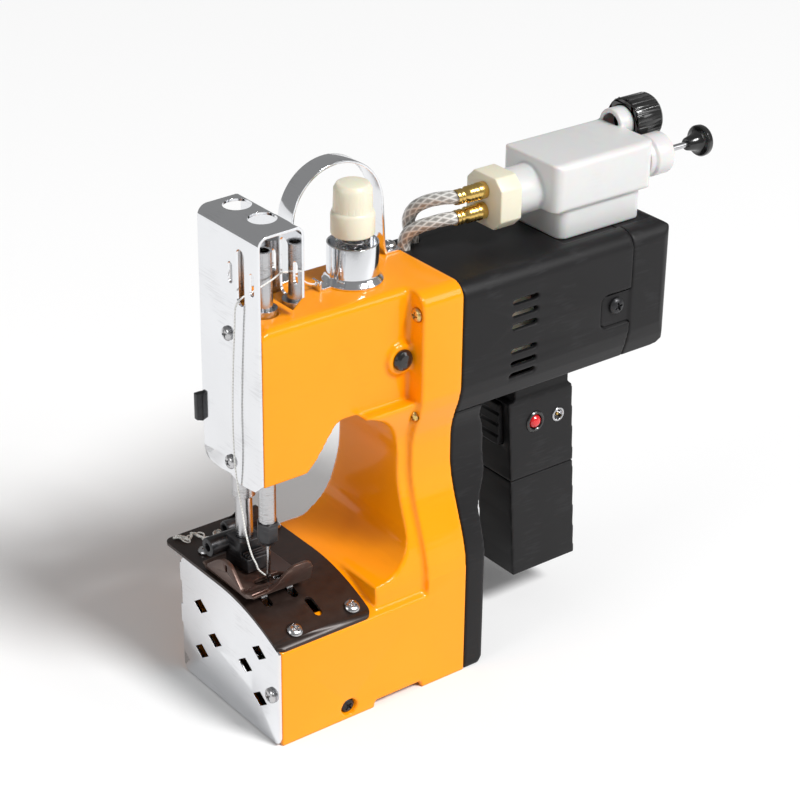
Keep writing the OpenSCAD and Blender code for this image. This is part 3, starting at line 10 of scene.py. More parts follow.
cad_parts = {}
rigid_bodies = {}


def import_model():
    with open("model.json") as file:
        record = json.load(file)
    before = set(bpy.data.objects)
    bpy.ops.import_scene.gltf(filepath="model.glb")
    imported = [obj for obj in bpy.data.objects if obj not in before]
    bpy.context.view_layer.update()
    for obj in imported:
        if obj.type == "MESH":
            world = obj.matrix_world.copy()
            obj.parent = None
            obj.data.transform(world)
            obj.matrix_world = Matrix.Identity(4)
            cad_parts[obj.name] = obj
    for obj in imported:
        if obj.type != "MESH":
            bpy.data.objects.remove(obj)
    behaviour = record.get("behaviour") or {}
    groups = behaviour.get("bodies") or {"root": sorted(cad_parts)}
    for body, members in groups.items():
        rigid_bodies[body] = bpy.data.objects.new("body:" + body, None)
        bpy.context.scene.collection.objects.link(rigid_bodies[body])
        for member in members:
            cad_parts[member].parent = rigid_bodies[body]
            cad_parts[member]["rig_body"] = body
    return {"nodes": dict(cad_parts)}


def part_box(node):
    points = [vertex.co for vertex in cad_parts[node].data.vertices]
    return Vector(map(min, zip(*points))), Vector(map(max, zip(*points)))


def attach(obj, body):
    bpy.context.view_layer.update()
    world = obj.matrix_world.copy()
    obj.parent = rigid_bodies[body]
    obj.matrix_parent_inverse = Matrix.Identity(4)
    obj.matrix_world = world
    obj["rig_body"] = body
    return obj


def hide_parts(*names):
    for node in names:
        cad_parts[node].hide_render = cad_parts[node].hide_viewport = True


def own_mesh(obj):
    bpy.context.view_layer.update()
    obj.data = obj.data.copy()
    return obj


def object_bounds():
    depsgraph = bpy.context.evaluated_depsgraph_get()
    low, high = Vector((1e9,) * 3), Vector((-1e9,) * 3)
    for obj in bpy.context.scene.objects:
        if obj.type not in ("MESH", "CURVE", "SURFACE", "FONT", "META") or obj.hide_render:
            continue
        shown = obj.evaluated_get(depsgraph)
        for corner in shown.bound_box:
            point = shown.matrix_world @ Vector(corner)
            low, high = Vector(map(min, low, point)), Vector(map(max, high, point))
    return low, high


bl_info = {
    "name": "Hand-held bag closer",
    "version": (1, 0, 0),
    "blender": (4, 5, 0),
    "location": "View3D > Sidebar > Bag Closer",
    "description": "Finishes the casting, covers, housings, hardware and cords of a bag closing machine",
    "category": "Object",
}

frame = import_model()
CAD_BOX = [list(corner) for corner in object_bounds()]
MM = 0.001
JOIN_DISTANCE = 0.004 * MM
CAST_VOXEL = 0.95 * MM
HOUSING_VOXEL = 0.8 * MM
BOTTLE_VOXEL = 0.6 * MM
CASTING_ROUNDS, HOUSING_ROUNDS, BOTTLE_ROUNDS = 4, 3, 6
FLOOR_HALF = 6.0
FLOOR_GAP = 0.2 * MM
THREAD_PITCH = 1.6 * MM
TAIL_DIAMETER = 1.3 * MM


def node_middle(name):
    """Middle of a CAD node's box."""
    low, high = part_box(name)
    return (low + high) / 2


# ---------------------------------------------------------------- sizes and colours

class BagCloserSizes(bpy.types.PropertyGroup):
    """Sizes of the softened edges, the screws, the springs and the hoses."""

    sheet_edge: bpy.props.FloatProperty(
        name="Sheet edge", description="Edge radius of the stamped sheet pieces",
        default=0.22 * MM, min=0.05 * MM, max=0.5 * MM, unit="LENGTH")
    screw_head: bpy.props.FloatProperty(
        name="Screw head", description="Diameter of a full-size pan screw head",
        default=7.4 * MM, min=3 * MM, max=12 * MM, unit="LENGTH")
    screw_height: bpy.props.FloatProperty(
        name="Screw head height", description="Height of a full-size pan screw head",
        default=2.4 * MM, min=1 * MM, max=4 * MM, unit="LENGTH")
    screw_recess: bpy.props.FloatProperty(
        name="Recess share", description="Width of the cross recess as a share of the head",
        default=0.56, min=0.3, max=0.8, subtype="FACTOR")
    tension_wire: bpy.props.FloatProperty(
        name="Tension wire", description="Wire diameter of the tension spring",
        default=1.1 * MM, min=0.4 * MM, max=2 * MM, unit="LENGTH")
    tension_turns: bpy.props.FloatProperty(
        name="Tension turns", description="Turns of the tension spring", default=5.0, min=2, max=12)
    hose_diameter: bpy.props.FloatProperty(
        name="Hose diameter", description="Outer diameter of the two oil hoses",
        default=6.2 * MM, min=3 * MM, max=9 * MM, unit="LENGTH")
    braid_pitch: bpy.props.FloatProperty(
        name="Braid pitch", description="Length of one turn of the braid in the hose wall",
        default=6.0 * MM, min=2 * MM, max=30 * MM, unit="LENGTH")
    thread_diameter: bpy.props.FloatProperty(
        name="Thread diameter", description="Diameter of the sewing thread",
        default=0.8 * MM, min=0.3 * MM, max=2 * MM, unit="LENGTH")


class BagCloserColours(bpy.types.PropertyGroup):
    """Base colours of the finishes, as linear values."""

    paint: bpy.props.FloatVectorProperty(
        name="Casting paint", description="Enamel of the arm, column and base",
        default=(0.95, 0.305, 0.0), min=0, max=1, subtype="COLOR")
    sheet: bpy.props.FloatVectorProperty(
        name="Bright sheet", description="Chromed cover sheets and thread arch",
        default=(0.78, 0.79, 0.81), min=0, max=1, subtype="COLOR")
    plate: bpy.props.FloatVectorProperty(
        name="Needle plate", description="Browned needle plate", default=(0.014, 0.006, 0.004),
        min=0, max=1, subtype="COLOR")
    moulding: bpy.props.FloatVectorProperty(
        name="Black moulding", description="Motor housing, end cap, grip and rear cover",
        default=(0.0072, 0.0068, 0.0074), min=0, max=1, subtype="COLOR")
    bottle: bpy.props.FloatVectorProperty(
        name="Oil bottle", description="Milky plastic of the oil bottle",
        default=(0.62, 0.62, 0.615), min=0, max=1, subtype="COLOR")
    nylon: bpy.props.FloatVectorProperty(
        name="Natural nylon", description="Thumb nut and hose manifold",
        default=(0.72, 0.68, 0.54), min=0, max=1, subtype="COLOR")
    button: bpy.props.FloatVectorProperty(
        name="Power button", description="Button on the grip", default=(0.62, 0.008, 0.012),
        min=0, max=1, subtype="COLOR")


class BagCloserStudio(bpy.types.PropertyGroup):
    """Floor and lights."""

    floor: bpy.props.FloatVectorProperty(
        name="Floor", description="Colour of the studio floor", default=(0.93, 0.93, 0.93),
        min=0, max=1, subtype="COLOR")
    key: bpy.props.FloatProperty(
        name="Key light", description="Strength of the sun-like main light", default=2.9, min=0)
    fill: bpy.props.FloatProperty(
        name="Fill light", description="Power of each soft side light", default=5.0, min=0,
        unit="POWER")
    room: bpy.props.FloatProperty(
        name="Room light", description="Strength of the even light all round", default=0.27, min=0,
        max=4)


# ---------------------------------------------------------------- shader groups

def new_group(name, inputs, outputs):
    """A shader node group with float, vector or colour sockets."""
    tree = bpy.data.node_groups.new(name, "ShaderNodeTree")
    for label, kind, value in inputs:
        socket = tree.interface.new_socket(label, in_out="INPUT", socket_type=kind)
        if value is not None:
            socket.default_value = value
    for label, kind in outputs:
        tree.interface.new_socket(label, in_out="OUTPUT", socket_type=kind)
    return tree, tree.nodes.new("NodeGroupInput"), tree.nodes.new("NodeGroupOutput")


def math_node(tree, operation, first, second=None, clamp=False):
    """A math node fed with sockets or numbers."""
    node = tree.nodes.new("ShaderNodeMath")
    node.operation = operation
    node.use_clamp = clamp
    for i, value in enumerate((first, second)):
        if value is None:
            continue
        if isinstance(value, (int, float)):
            node.inputs[i].default_value = value
        else:
            tree.links.new(value, node.inputs[i])
    return node.outputs[0]


def grain_group():
    """Fine moulded or cast grain, as a height from 0 to 1 and a slower blotch."""
    tree, start, end = new_group(
        "Surface_grain",
        [("Vector", "NodeSocketVector", None), ("Grain size", "NodeSocketFloat", 1500.0),
         ("Blotch size", "NodeSocketFloat", 40.0), ("Sharpness", "NodeSocketFloat", 0.5)],
        [("Height", "NodeSocketFloat"), ("Blotch", "NodeSocketFloat")])
    fine = tree.nodes.new("ShaderNodeTexNoise")
    fine.inputs["Detail"].default_value = 3.0
    tree.links.new(start.outputs["Vector"], fine.inputs["Vector"])
    tree.links.new(start.outputs["Grain size"], fine.inputs["Scale"])
    tree.links.new(start.outputs["Sharpness"], fine.inputs["Roughness"])
    slow = tree.nodes.new("ShaderNodeTexNoise")
    slow.inputs["Detail"].default_value = 4.0
    tree.links.new(start.outputs["Vector"], slow.inputs["Vector"])
    tree.links.new(start.outputs["Blotch size"], slow.inputs["Scale"])
    tree.links.new(fine.outputs["Fac"], end.inputs["Height"])
    tree.links.new(slow.outputs["Fac"], end.inputs["Blotch"])
    return tree


def scuff_group():
    """Thin rubbed scratches and spots of wear, as a mask."""
    tree, start, end = new_group(
        "Rubbed_wear",
        [("Vector", "NodeSocketVector", None), ("Scratch size", "NodeSocketFloat", 120.0),
         ("Amount", "NodeSocketFloat", 0.3)],
        [("Mask", "NodeSocketFloat")])
    stretch = tree.nodes.new("ShaderNodeMapping")
    stretch.inputs["Scale"].default_value = (1.0, 0.35, 7.0)
    stretch.inputs["Rotation"].default_value = (0.5, 0.3, 0.7)
    tree.links.new(start.outputs["Vector"], stretch.inputs["Vector"])
    lines = tree.nodes.new("ShaderNodeTexNoise")
    lines.inputs["Detail"].default_value = 5.0
    tree.links.new(stretch.outputs["Vector"], lines.inputs["Vector"])
    tree.links.new(start.outputs["Scratch size"], lines.inputs["Scale"])
    spots = tree.nodes.new("ShaderNodeTexNoise")
    spots.inputs["Scale"].default_value = 55.0
    tree.links.new(start.outputs["Vector"], spots.inputs["Vector"])
    both = math_node(tree, "MULTIPLY", lines.outputs["Fac"], spots.outputs["Fac"])
    level = math_node(tree, "SUBTRACT", both, 0.30)
    level = math_node(tree, "MULTIPLY", level, 9.0, clamp=True)
    level = math_node(tree, "MULTIPLY", level, start.outputs["Amount"], clamp=True)
    tree.links.new(level, end.inputs["Mask"])
    return tree


def edge_group():
    """Wear along convex edges, as a mask."""
    tree, start, end = new_group(
        "Edge_wear",
        [("Vector", "NodeSocketVector", None), ("Amount", "NodeSocketFloat", 0.5)],
        [("Mask", "NodeSocketFloat")])
    geometry = tree.nodes.new("ShaderNodeNewGeometry")
    broken = tree.nodes.new("ShaderNodeTexNoise")
    broken.inputs["Scale"].default_value = 240.0
    broken.inputs["Detail"].default_value = 4.0
    tree.links.new(start.outputs["Vector"], broken.inputs["Vector"])
    edge = math_node(tree, "SUBTRACT", geometry.outputs["Pointiness"], 0.515)
    edge = math_node(tree, "MULTIPLY", edge, 14.0, clamp=True)
    edge = math_node(tree, "MULTIPLY", edge, broken.outputs["Fac"])
    edge = math_node(tree, "MULTIPLY", edge, start.outputs["Amount"], clamp=True)
    tree.links.new(edge, end.inputs["Mask"])
    return tree


def weave_group():
    """Two crossing families of strands on a tube's own UV map: u goes round, v goes along."""
    tree, start, end = new_group(
        "Crossed_strands",
        [("Vector", "NodeSocketVector", None), ("Strands", "NodeSocketFloat", 6.0),
         ("Turns", "NodeSocketFloat", 6.0), ("Sharpness", "NodeSocketFloat", 6.0)],
        [("Mask", "NodeSocketFloat"), ("Height", "NodeSocketFloat")])
    split = tree.nodes.new("ShaderNodeSeparateXYZ")
    tree.links.new(start.outputs["Vector"], split.inputs[0])
    around = math_node(tree, "MULTIPLY", split.outputs["X"], start.outputs["Strands"])
    along = math_node(tree, "MULTIPLY", split.outputs["Y"], start.outputs["Turns"])
    families = []
    for operation in ("ADD", "SUBTRACT"):
        phase = math_node(tree, operation, around, along)
        wave = math_node(tree, "SINE", math_node(tree, "MULTIPLY", phase, 2 * math.pi))
        wave = math_node(tree, "MULTIPLY", math_node(tree, "ADD", wave, 1.0), 0.5)
        families.append(math_node(tree, "POWER", wave, start.outputs["Sharpness"]))
    strand = math_node(tree, "MAXIMUM", families[0], families[1])
    tree.links.new(strand, end.inputs["Mask"])
    tree.links.new(math_node(tree, "ADD", families[0], families[1]), end.inputs["Height"])
    return tree


GROUPS = {}


def shared_group(name):
    """One of the shared shader groups, built once."""
    makers = {"grain": grain_group, "scuff": scuff_group, "edge": edge_group, "weave": weave_group}
    if name not in GROUPS:
        GROUPS[name] = makers[name]()
    return GROUPS[name]


def place_group(material, name, coordinates, **values):
    """A shared group in a material, with its own values."""
    node = material.node_tree.nodes.new("ShaderNodeGroup")
    node.node_tree = shared_group(name)
    material.node_tree.links.new(coordinates, node.inputs["Vector"])
    for key, value in values.items():
        node.inputs[key.replace("_", " ").capitalize()].default_value = value
    return node


MATERIALS = {}


def finish_of(name, base, worn, rough, rough_worn, grain=1500.0, blotch=40.0, relief=0.02 * MM,
              scuff=0.4, scratch=120.0, edge_wear=0.0, round_edge=0.25 * MM, **fixed):
    """A worn, grained surface: base and worn colours, two roughnesses and a fine relief."""
    material = bpy.data.materials.new(name)
    material.use_nodes = True
    tree = material.node_tree
    shader = tree.nodes["Principled BSDF"]
    for socket, value in fixed.items():
        shader.inputs[socket.replace("_", " ")].default_value = value
    place = tree.nodes.new("ShaderNodeTexCoord").outputs["Object"]
    surface = place_group(material, "grain", place, grain_size=grain, blotch_size=blotch)
    rubbed = place_group(material, "scuff", place, scratch_size=scratch, amount=scuff)
    wear = rubbed.outputs["Mask"]
    if edge_wear:
        edges = place_group(material, "edge", place, amount=edge_wear)
        wear = math_node(tree, "MAXIMUM", wear, edges.outputs["Mask"])
    shade = tree.nodes.new("ShaderNodeMix")
    shade.data_type = "RGBA"
    shade.inputs["A"].default_value = (*base, 1)
    shade.inputs["B"].default_value = (*[min(1.0, c * 1.10 + 0.004) for c in base], 1)
    tree.links.new(surface.outputs["Blotch"], shade.inputs["Factor"])
    colour = tree.nodes.new("ShaderNodeMix")
    colour.data_type = "RGBA"
    colour.inputs["B"].default_value = (*worn, 1)
    tree.links.new(shade.outputs["Result"], colour.inputs["A"])
    tree.links.new(wear, colour.inputs["Factor"])
    tree.links.new(colour.outputs["Result"], shader.inputs["Base Color"])
    roughness = tree.nodes.new("ShaderNodeMapRange")
    roughness.inputs["To Min"].default_value = rough
    roughness.inputs["To Max"].default_value = rough_worn
    mixed = math_node(tree, "MULTIPLY", surface.outputs["Blotch"], 0.35)
    tree.links.new(math_node(tree, "ADD", mixed, wear, clamp=True), roughness.inputs["Value"])
    tree.links.new(roughness.outputs["Result"], shader.inputs["Roughness"])
    soft = tree.nodes.new("ShaderNodeBevel")
    soft.samples = 4
    soft.inputs["Radius"].default_value = round_edge
    bump = tree.nodes.new("ShaderNodeBump")
    bump.inputs["Distance"].default_value = relief
    tree.links.new(surface.outputs["Height"], bump.inputs["Height"])
    tree.links.new(soft.outputs["Normal"], bump.inputs["Normal"])
    tree.links.new(bump.outputs["Normal"], shader.inputs["Normal"])
    MATERIALS[name] = material
    return material


def strand_finish(name, gap_colour, strand_colour, strands, turns, sharpness, relief, rough,
                  **fixed):
    """A braided or twisted surface on a tube's own UV map."""
    material = bpy.data.materials.new(name)
    material.use_nodes = True
    tree = material.node_tree
    shader = tree.nodes["Principled BSDF"]
    for socket, value in fixed.items():
        shader.inputs[socket.replace("_", " ")].default_value = value
    uv = tree.nodes.new("ShaderNodeUVMap")
    uv.uv_map = "UVMap"
    weave = place_group(material, "weave", uv.outputs["UV"], strands=strands, turns=turns,
                        sharpness=sharpness)
    place = tree.nodes.new("ShaderNodeTexCoord").outputs["Object"]
    surface = place_group(material, "grain", place, grain_size=2600.0, blotch_size=160.0)
    colour = tree.nodes.new("ShaderNodeMix")
    colour.data_type = "RGBA"
    colour.inputs["A"].default_value = (*gap_colour, 1)
    colour.inputs["B"].default_value = (*strand_colour, 1)
    tree.links.new(weave.outputs["Mask"], colour.inputs["Factor"])
    tree.links.new(colour.outputs["Result"], shader.inputs["Base Color"])
    roughness = tree.nodes.new("ShaderNodeMapRange")
    roughness.inputs["To Min"].default_value = rough
    roughness.inputs["To Max"].default_value = min(1.0, rough + 0.25)
    tree.links.new(surface.outputs["Blotch"], roughness.inputs["Value"])
    tree.links.new(roughness.outputs["Result"], shader.inputs["Roughness"])
    height = math_node(tree, "ADD", weave.outputs["Height"],
                       math_node(tree, "MULTIPLY", surface.outputs["Height"], 0.3))
    bump = tree.nodes.new("ShaderNodeBump")
    bump.inputs["Distance"].default_value = relief
    tree.links.new(height, bump.inputs["Height"])
    tree.links.new(bump.outputs["Normal"], shader.inputs["Normal"])
    MATERIALS[name] = material
    return material


def make_finishes(colours):
    """Every finish of the machine."""
    paint, sheet, plate = tuple(colours.paint), tuple(colours.sheet), tuple(colours.plate)
    black, bottle, nylon = tuple(colours.moulding), tuple(colours.bottle), tuple(colours.nylon)
    finish_of("orange_enamel", paint, (0.86, 0.265, 0.002), 0.17, 0.40, grain=170.0, blotch=24.0,
              relief=0.030 * MM, scuff=0.12, edge_wear=0.08, round_edge=1.2 * MM,
              Coat_Weight=0.30, Coat_Roughness=0.05, Specular_IOR_Level=0.18)
    finish_of("chromed_sheet_steel", sheet, (0.50, 0.50, 0.52), 0.07, 0.24, grain=420.0,
              blotch=30.0, relief=0.006 * MM, scuff=0.30, scratch=260.0, Metallic=1.0)
    finish_of("browned_plate", plate, (0.05, 0.034, 0.028), 0.24, 0.46, grain=900.0,
              relief=0.012 * MM, scuff=0.55, edge_wear=0.6, Metallic=0.2,
              Specular_IOR_Level=0.45)
    finish_of("browned_foot", (0.062, 0.030, 0.022), (0.24, 0.18, 0.15), 0.24, 0.46, grain=900.0,
              relief=0.012 * MM, scuff=0.6, edge_wear=0.9, Metallic=0.55)
    finish_of("spark_textured_black", black, (0.030, 0.030, 0.032), 0.40, 0.62, grain=1700.0,
              blotch=34.0, relief=0.045 * MM, scuff=0.35, edge_wear=0.15, round_edge=0.8 * MM,
              Specular_IOR_Level=0.22)
    finish_of("smooth_black", (0.006, 0.006, 0.006), (0.04, 0.04, 0.04), 0.16, 0.34,
              grain=700.0, relief=0.006 * MM, scuff=0.3, edge_wear=0.2, Coat_Weight=0.3)
    finish_of("ground_steel", (0.50, 0.50, 0.51), (0.30, 0.29, 0.28), 0.20, 0.42, grain=1200.0,
              relief=0.008 * MM, scuff=0.6, scratch=420.0, Metallic=1.0)
    finish_of("blackened_steel", (0.018, 0.018, 0.020), (0.14, 0.14, 0.145), 0.28, 0.5,
              grain=1100.0, relief=0.012 * MM, scuff=0.5, edge_wear=0.7, Metallic=0.6)
    finish_of("yellow_zinc", (0.68, 0.47, 0.16), (0.42, 0.36, 0.24), 0.22, 0.45, grain=900.0,
              relief=0.008 * MM, scuff=0.5, Metallic=1.0)
    finish_of("turned_brass", (0.74, 0.50, 0.15), (0.45, 0.29, 0.09), 0.20, 0.40, grain=1000.0,
              relief=0.010 * MM, scuff=0.5, edge_wear=0.3, Metallic=1.0)
    finish_of("moulded_nylon", nylon, (0.60, 0.55, 0.40), 0.34, 0.52, grain=600.0,
              relief=0.015 * MM, scuff=0.25, round_edge=0.4 * MM, Subsurface_Weight=0.35,
              Subsurface_Scale=1.2 * MM)
    finish_of("milky_polythene", bottle, (0.60, 0.61, 0.60), 0.30, 0.48, grain=260.0, blotch=26.0,
              relief=0.03 * MM, scuff=0.25, round_edge=0.8 * MM, Subsurface_Weight=0.55,
              Subsurface_Scale=3.0 * MM, Coat_Weight=0.15)
    finish_of("dull_rubber", (0.012, 0.012, 0.012), (0.05, 0.05, 0.05), 0.62, 0.85, grain=1500.0,
              relief=0.04 * MM, scuff=0.4)
    finish_of("button_red", tuple(colours.button), (0.35, 0.02, 0.02), 0.18, 0.34, grain=700.0,
              relief=0.006 * MM, scuff=0.2, Coat_Weight=0.5)
    finish_of("enamelled_copper", (0.46, 0.17, 0.07), (0.24, 0.09, 0.04), 0.28, 0.5,
              grain=1500.0, relief=0.04 * MM, scuff=0.4, Metallic=0.9)
    finish_of("grey_iron", (0.17, 0.17, 0.175), (0.32, 0.32, 0.32), 0.42, 0.62, grain=800.0,
              relief=0.05 * MM, scuff=0.5, edge_wear=0.6, Metallic=0.7)
    finish_of("cell_wrap", (0.05, 0.16, 0.40), (0.12, 0.22, 0.42), 0.22, 0.4, grain=500.0,
              relief=0.01 * MM, scuff=0.3)
    strand_finish("braided_hose", (0.30, 0.29, 0.27), (0.78, 0.77, 0.74), 7.0, 1.0, 3.0,
                  0.10 * MM, 0.22, Coat_Weight=0.8, Coat_Roughness=0.12)
    # Painted shade: the thread's grey gap colour darkens the grooves between its twisted strands, which
    # are one white throughout
    strand_finish("twisted_thread", (0.62, 0.62, 0.58), (0.95, 0.95, 0.92), 1.5, 1.0, 1.2,
                  0.12 * MM, 0.65, Sheen_Weight=0.4)


# ---------------------------------------------------------------- mesh work

def body_of_node(name):
    """Body that a CAD node belongs to."""
    return frame["nodes"][name]["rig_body"]


def new_piece(name, mesh, material):
    """A linked object with one material, at the origin."""
    piece = bpy.data.objects.new(name, mesh)
    bpy.context.scene.collection.objects.link(piece)
    mesh.materials.clear()
    mesh.materials.append(MATERIALS[material])
    return piece


def smooth_by_angle(mesh, degrees):
    """Smooth shading with creases above an angle."""
    mesh.polygons.foreach_set("use_smooth", [True] * len(mesh.polygons))
    mesh.set_sharp_from_angle(angle=math.radians(degrees))


def flatten_modifiers(piece):
    """Turns a piece with modifiers into a plain mesh."""
    graph = bpy.context.evaluated_depsgraph_get()
    mesh = bpy.data.meshes.new_from_object(piece.evaluated_get(graph), depsgraph=graph)
    piece.modifiers.clear()
    old = piece.data
    piece.data = mesh
    bpy.data.meshes.remove(old)
    mesh.name = piece.name
    return piece


def reach_across(face, edge):
    """How far a face reaches from one of its edges."""
    start = edge.verts[0].co
    along = (edge.verts[1].co - start).normalized()
    return max(((v.co - start) - along * (v.co - start).dot(along)).length for v in face.verts)


def joined_copy(name):
    """A copy of a CAD node's mesh with its doubled points joined."""
    mesh = frame["nodes"][name].data.copy()
    work = bmesh.new()
    work.from_mesh(mesh)
    bmesh.ops.remove_doubles(work, verts=work.verts, dist=JOIN_DISTANCE)
    work.to_mesh(mesh)
    work.free()
    return mesh


def merged_copy(name, tolerance=0.7):
    """A copy of a CAD node's mesh with its triangles joined into faces."""
    mesh = frame["nodes"][name].data.copy()
    work = bmesh.new()
    work.from_mesh(mesh)
    bmesh.ops.remove_doubles(work, verts=work.verts, dist=JOIN_DISTANCE)
    bmesh.ops.dissolve_degenerate(work, edges=work.edges, dist=0.002 * MM)
    bmesh.ops.dissolve_limit(work, angle_limit=math.radians(tolerance), verts=work.verts,
                             edges=work.edges, delimit={"NORMAL"})
    work.to_mesh(mesh)
    work.free()
    return mesh


def keep_in_box(mesh, name):
    """Holds a mesh inside the box of its CAD node."""
    low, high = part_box(name)
    places = np.empty(len(mesh.vertices) * 3, np.float32)
    mesh.vertices.foreach_get("co", places)
    places = np.clip(places.reshape(-1, 3), np.array(low), np.array(high))
    mesh.vertices.foreach_set("co", places.astype(np.float32).ravel())
    mesh.update()


def softened(name, material, edge, slot, segments=2, angle=38.0):
    """A CAD node with its sharp edges rounded as far as the faces beside them allow."""
    mesh = merged_copy(name)
    work = bmesh.new()
    work.from_mesh(mesh)
    weights = work.edges.layers.float.new("bevel_weight_edge")
    limit = math.radians(angle)
    sharp = {line for line in work.edges if len(line.link_faces) == 2
             and line.calc_length() > 1e-6 and line.calc_face_angle(0.0) >= limit}
    for line in sharp:
        room = 0.33 * min(reach_across(face, line) for face in line.link_faces)
        along = (line.verts[1].co - line.verts[0].co).normalized()
        for corner in line.verts:
            for other in corner.link_edges:
                way = (other.other_vert(corner).co - corner.co).normalized()
                if other != line and not (other in sharp and abs(way.dot(along)) > 0.85):
                    room = min(room, 0.42 * other.calc_length())
        line[weights] = max(0.0, min(1.0, room / edge))
    work.to_mesh(mesh)
    work.free()
    piece = new_piece(name + "_finished", mesh, material)
    bevel = piece.modifiers.new("Rounded edges", "BEVEL")
    bevel.limit_method = "WEIGHT"
    bevel.width = edge
    bevel.segments = segments
    bevel.use_clamp_overlap = False
    bevel.harden_normals = False
    bevel.miter_outer = "MITER_ARC"
    flatten_modifiers(piece)
    keep_in_box(piece.data, name)
    smooth_by_angle(piece.data, 32.0)
    return finished(piece, body_of_node(name), slot, name)


def creased(name, material, slot):
    """A CAD node as it is, smooth over its bends and creased at its edges."""
    mesh = joined_copy(name)
    piece = new_piece(name + "_finished", mesh, material)
    smooth_by_angle(mesh, 28.0)
    return finished(piece, body_of_node(name), slot, name)


def moulded(name, material, voxel, rounds, slot, flatness=1.2):
    """A CAD node with every edge softened as in a casting or a moulding."""
    mesh = joined_copy(name)
    piece = new_piece(name + "_finished", mesh, material)
    skin = piece.modifiers.new("Even skin", "REMESH")
    skin.mode = "VOXEL"
    skin.voxel_size = voxel * 1.0
    ease = piece.modifiers.new("Softened edges", "SMOOTH")
    ease.factor = 0.5
    ease.iterations = rounds
    flats = piece.modifiers.new("Joined flats", "DECIMATE")
    flats.decimate_type = "DISSOLVE"
    flats.angle_limit = math.radians(flatness)
    split = piece.modifiers.new("Triangles", "TRIANGULATE")
    split.quad_method = "BEAUTY"
    flatten_modifiers(piece)
    keep_in_box(piece.data, name)
    piece.data.materials.clear()
    piece.data.materials.append(MATERIALS[material])
    smooth_by_angle(piece.data, 44.0)
    return finished(piece, body_of_node(name), slot, name)


def repainted(name, material):
    """A CAD node kept as it is, with its finish."""
    node = frame["nodes"][name]
    node.data.materials.clear()
    node.data.materials.append(MATERIALS[material])
    return node


def finished(piece, body, slot, *nodes):
    """Puts a made piece on its body and hides the nodes it stands for; the slot is not used."""
    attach(piece, body)
    if nodes:
        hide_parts(*nodes)
    return piece


def turned_mesh(name, profile, centre, axis, steps=48):
    """A turned solid: profile points are (radius, height) from the centre along the axis."""
    work = bmesh.new()
    turn = Vector((0, 0, 1)).rotation_difference(Vector(axis).normalized()).to_matrix()
    rings = []
    for radius, height in profile:
        if radius < 1e-7:
            rings.append([work.verts.new(Vector(centre) + turn @ Vector((0, 0, height)))])
            continue
        ring = []
        for i in range(steps):
            a = 2 * math.pi * i / steps
            ring.append(work.verts.new(Vector(centre) + turn @ Vector(
                (radius * math.cos(a), radius * math.sin(a), height))))
        rings.append(ring)
    for low, high in zip(rings, rings[1:]):
        for i in range(steps):
            j = (i + 1) % steps
            corners = [low[i % len(low)], low[j % len(low)],
                       high[j % len(high)], high[i % len(high)]]
            corners = [v for k, v in enumerate(corners) if v not in corners[:k]]
            if len(corners) > 2:
                work.faces.new(corners)
    bmesh.ops.recalc_face_normals(work, faces=work.faces)
    mesh = bpy.data.meshes.new(name)
    work.to_mesh(mesh)
    work.free()
    smooth_by_angle(mesh, 34.0)
    return mesh


def turned_piece(name, profile, centre, axis, material, steps=48):
    """A turned piece with one finish, from a profile in millimetres."""
    mesh = turned_mesh(name, [(r * MM, h * MM) for r, h in profile], centre, axis, steps)
    return new_piece(name, mesh, material)


def smooth_path(points, step):
    """Points along a smooth curve through the given ones, about a step apart."""
    points = [Vector(p) for p in points]
    ends = [2 * points[0] - points[1]] + points + [2 * points[-1] - points[-2]]
    path = []
    for a, b, c, d in zip(ends, ends[1:], ends[2:], ends[3:]):
        count = max(2, round((c - b).length / step))
        for i in range(count):
            t = i / count
            path.append(0.5 * (2 * b + (c - a) * t + (2 * a - 5 * b + 4 * c - d) * t * t
                               + (3 * b - a - 3 * c + d) * t ** 3))
    path.append(points[-1])
    return path


def tube_mesh(name, path, diameter, sides, pitch):
    """A closed tube along a path, with u once round and v counting pitches along."""
    work = bmesh.new()
    layer = work.loops.layers.uv.new("UVMap")
    across = None
    rings, stations, run = [], [], 0.0
    for i, p in enumerate(path):
        ahead = (path[min(i + 1, len(path) - 1)] - path[max(i - 1, 0)]).normalized()
        if across is None:
            across = ahead.orthogonal().normalized()
        across = (across - ahead * across.dot(ahead)).normalized()
        up = ahead.cross(across)
        if i:
            run += (p - path[i - 1]).length
        stations.append(run / pitch)
        ring = []
        for k in range(sides):
            a = 2 * math.pi * k / sides
            out = across * math.cos(a) + up * math.sin(a)
            ring.append(work.verts.new(p + out * diameter / 2))
        rings.append(ring)
    for i in range(len(rings) - 1):
        for k in range(sides):
            j = (k + 1) % sides
            face = work.faces.new((rings[i][k], rings[i][j], rings[i + 1][j], rings[i + 1][k]))
            corners = ((k, i), (k + 1, i), (k + 1, i + 1), (k, i + 1))
            for loop, (u, v) in zip(face.loops, corners):
                loop[layer].uv = (u / sides, stations[v])
    for ring, where in ((rings[0][::-1], 0), (rings[-1], -1)):
        face = work.faces.new(ring)
        for loop in face.loops:
            loop[layer].uv = (0.5, stations[where])
    mesh = bpy.data.meshes.new(name)
    work.to_mesh(mesh)
    work.free()
    smooth_by_angle(mesh, 40.0)
    return mesh


# ---------------------------------------------------------------- geometry node trees

def geometry_tree(name, inputs):
    """An empty geometry tree with named inputs and one geometry output."""
    tree = bpy.data.node_groups.new(name, "GeometryNodeTree")
    tree.interface.new_socket("Geometry", in_out="INPUT", socket_type="NodeSocketGeometry")
    for label, kind in inputs:
        tree.interface.new_socket(label, in_out="INPUT", socket_type=kind)
    tree.interface.new_socket("Geometry", in_out="OUTPUT", socket_type="NodeSocketGeometry")
    return tree, tree.nodes.new("NodeGroupInput"), tree.nodes.new("NodeGroupOutput")


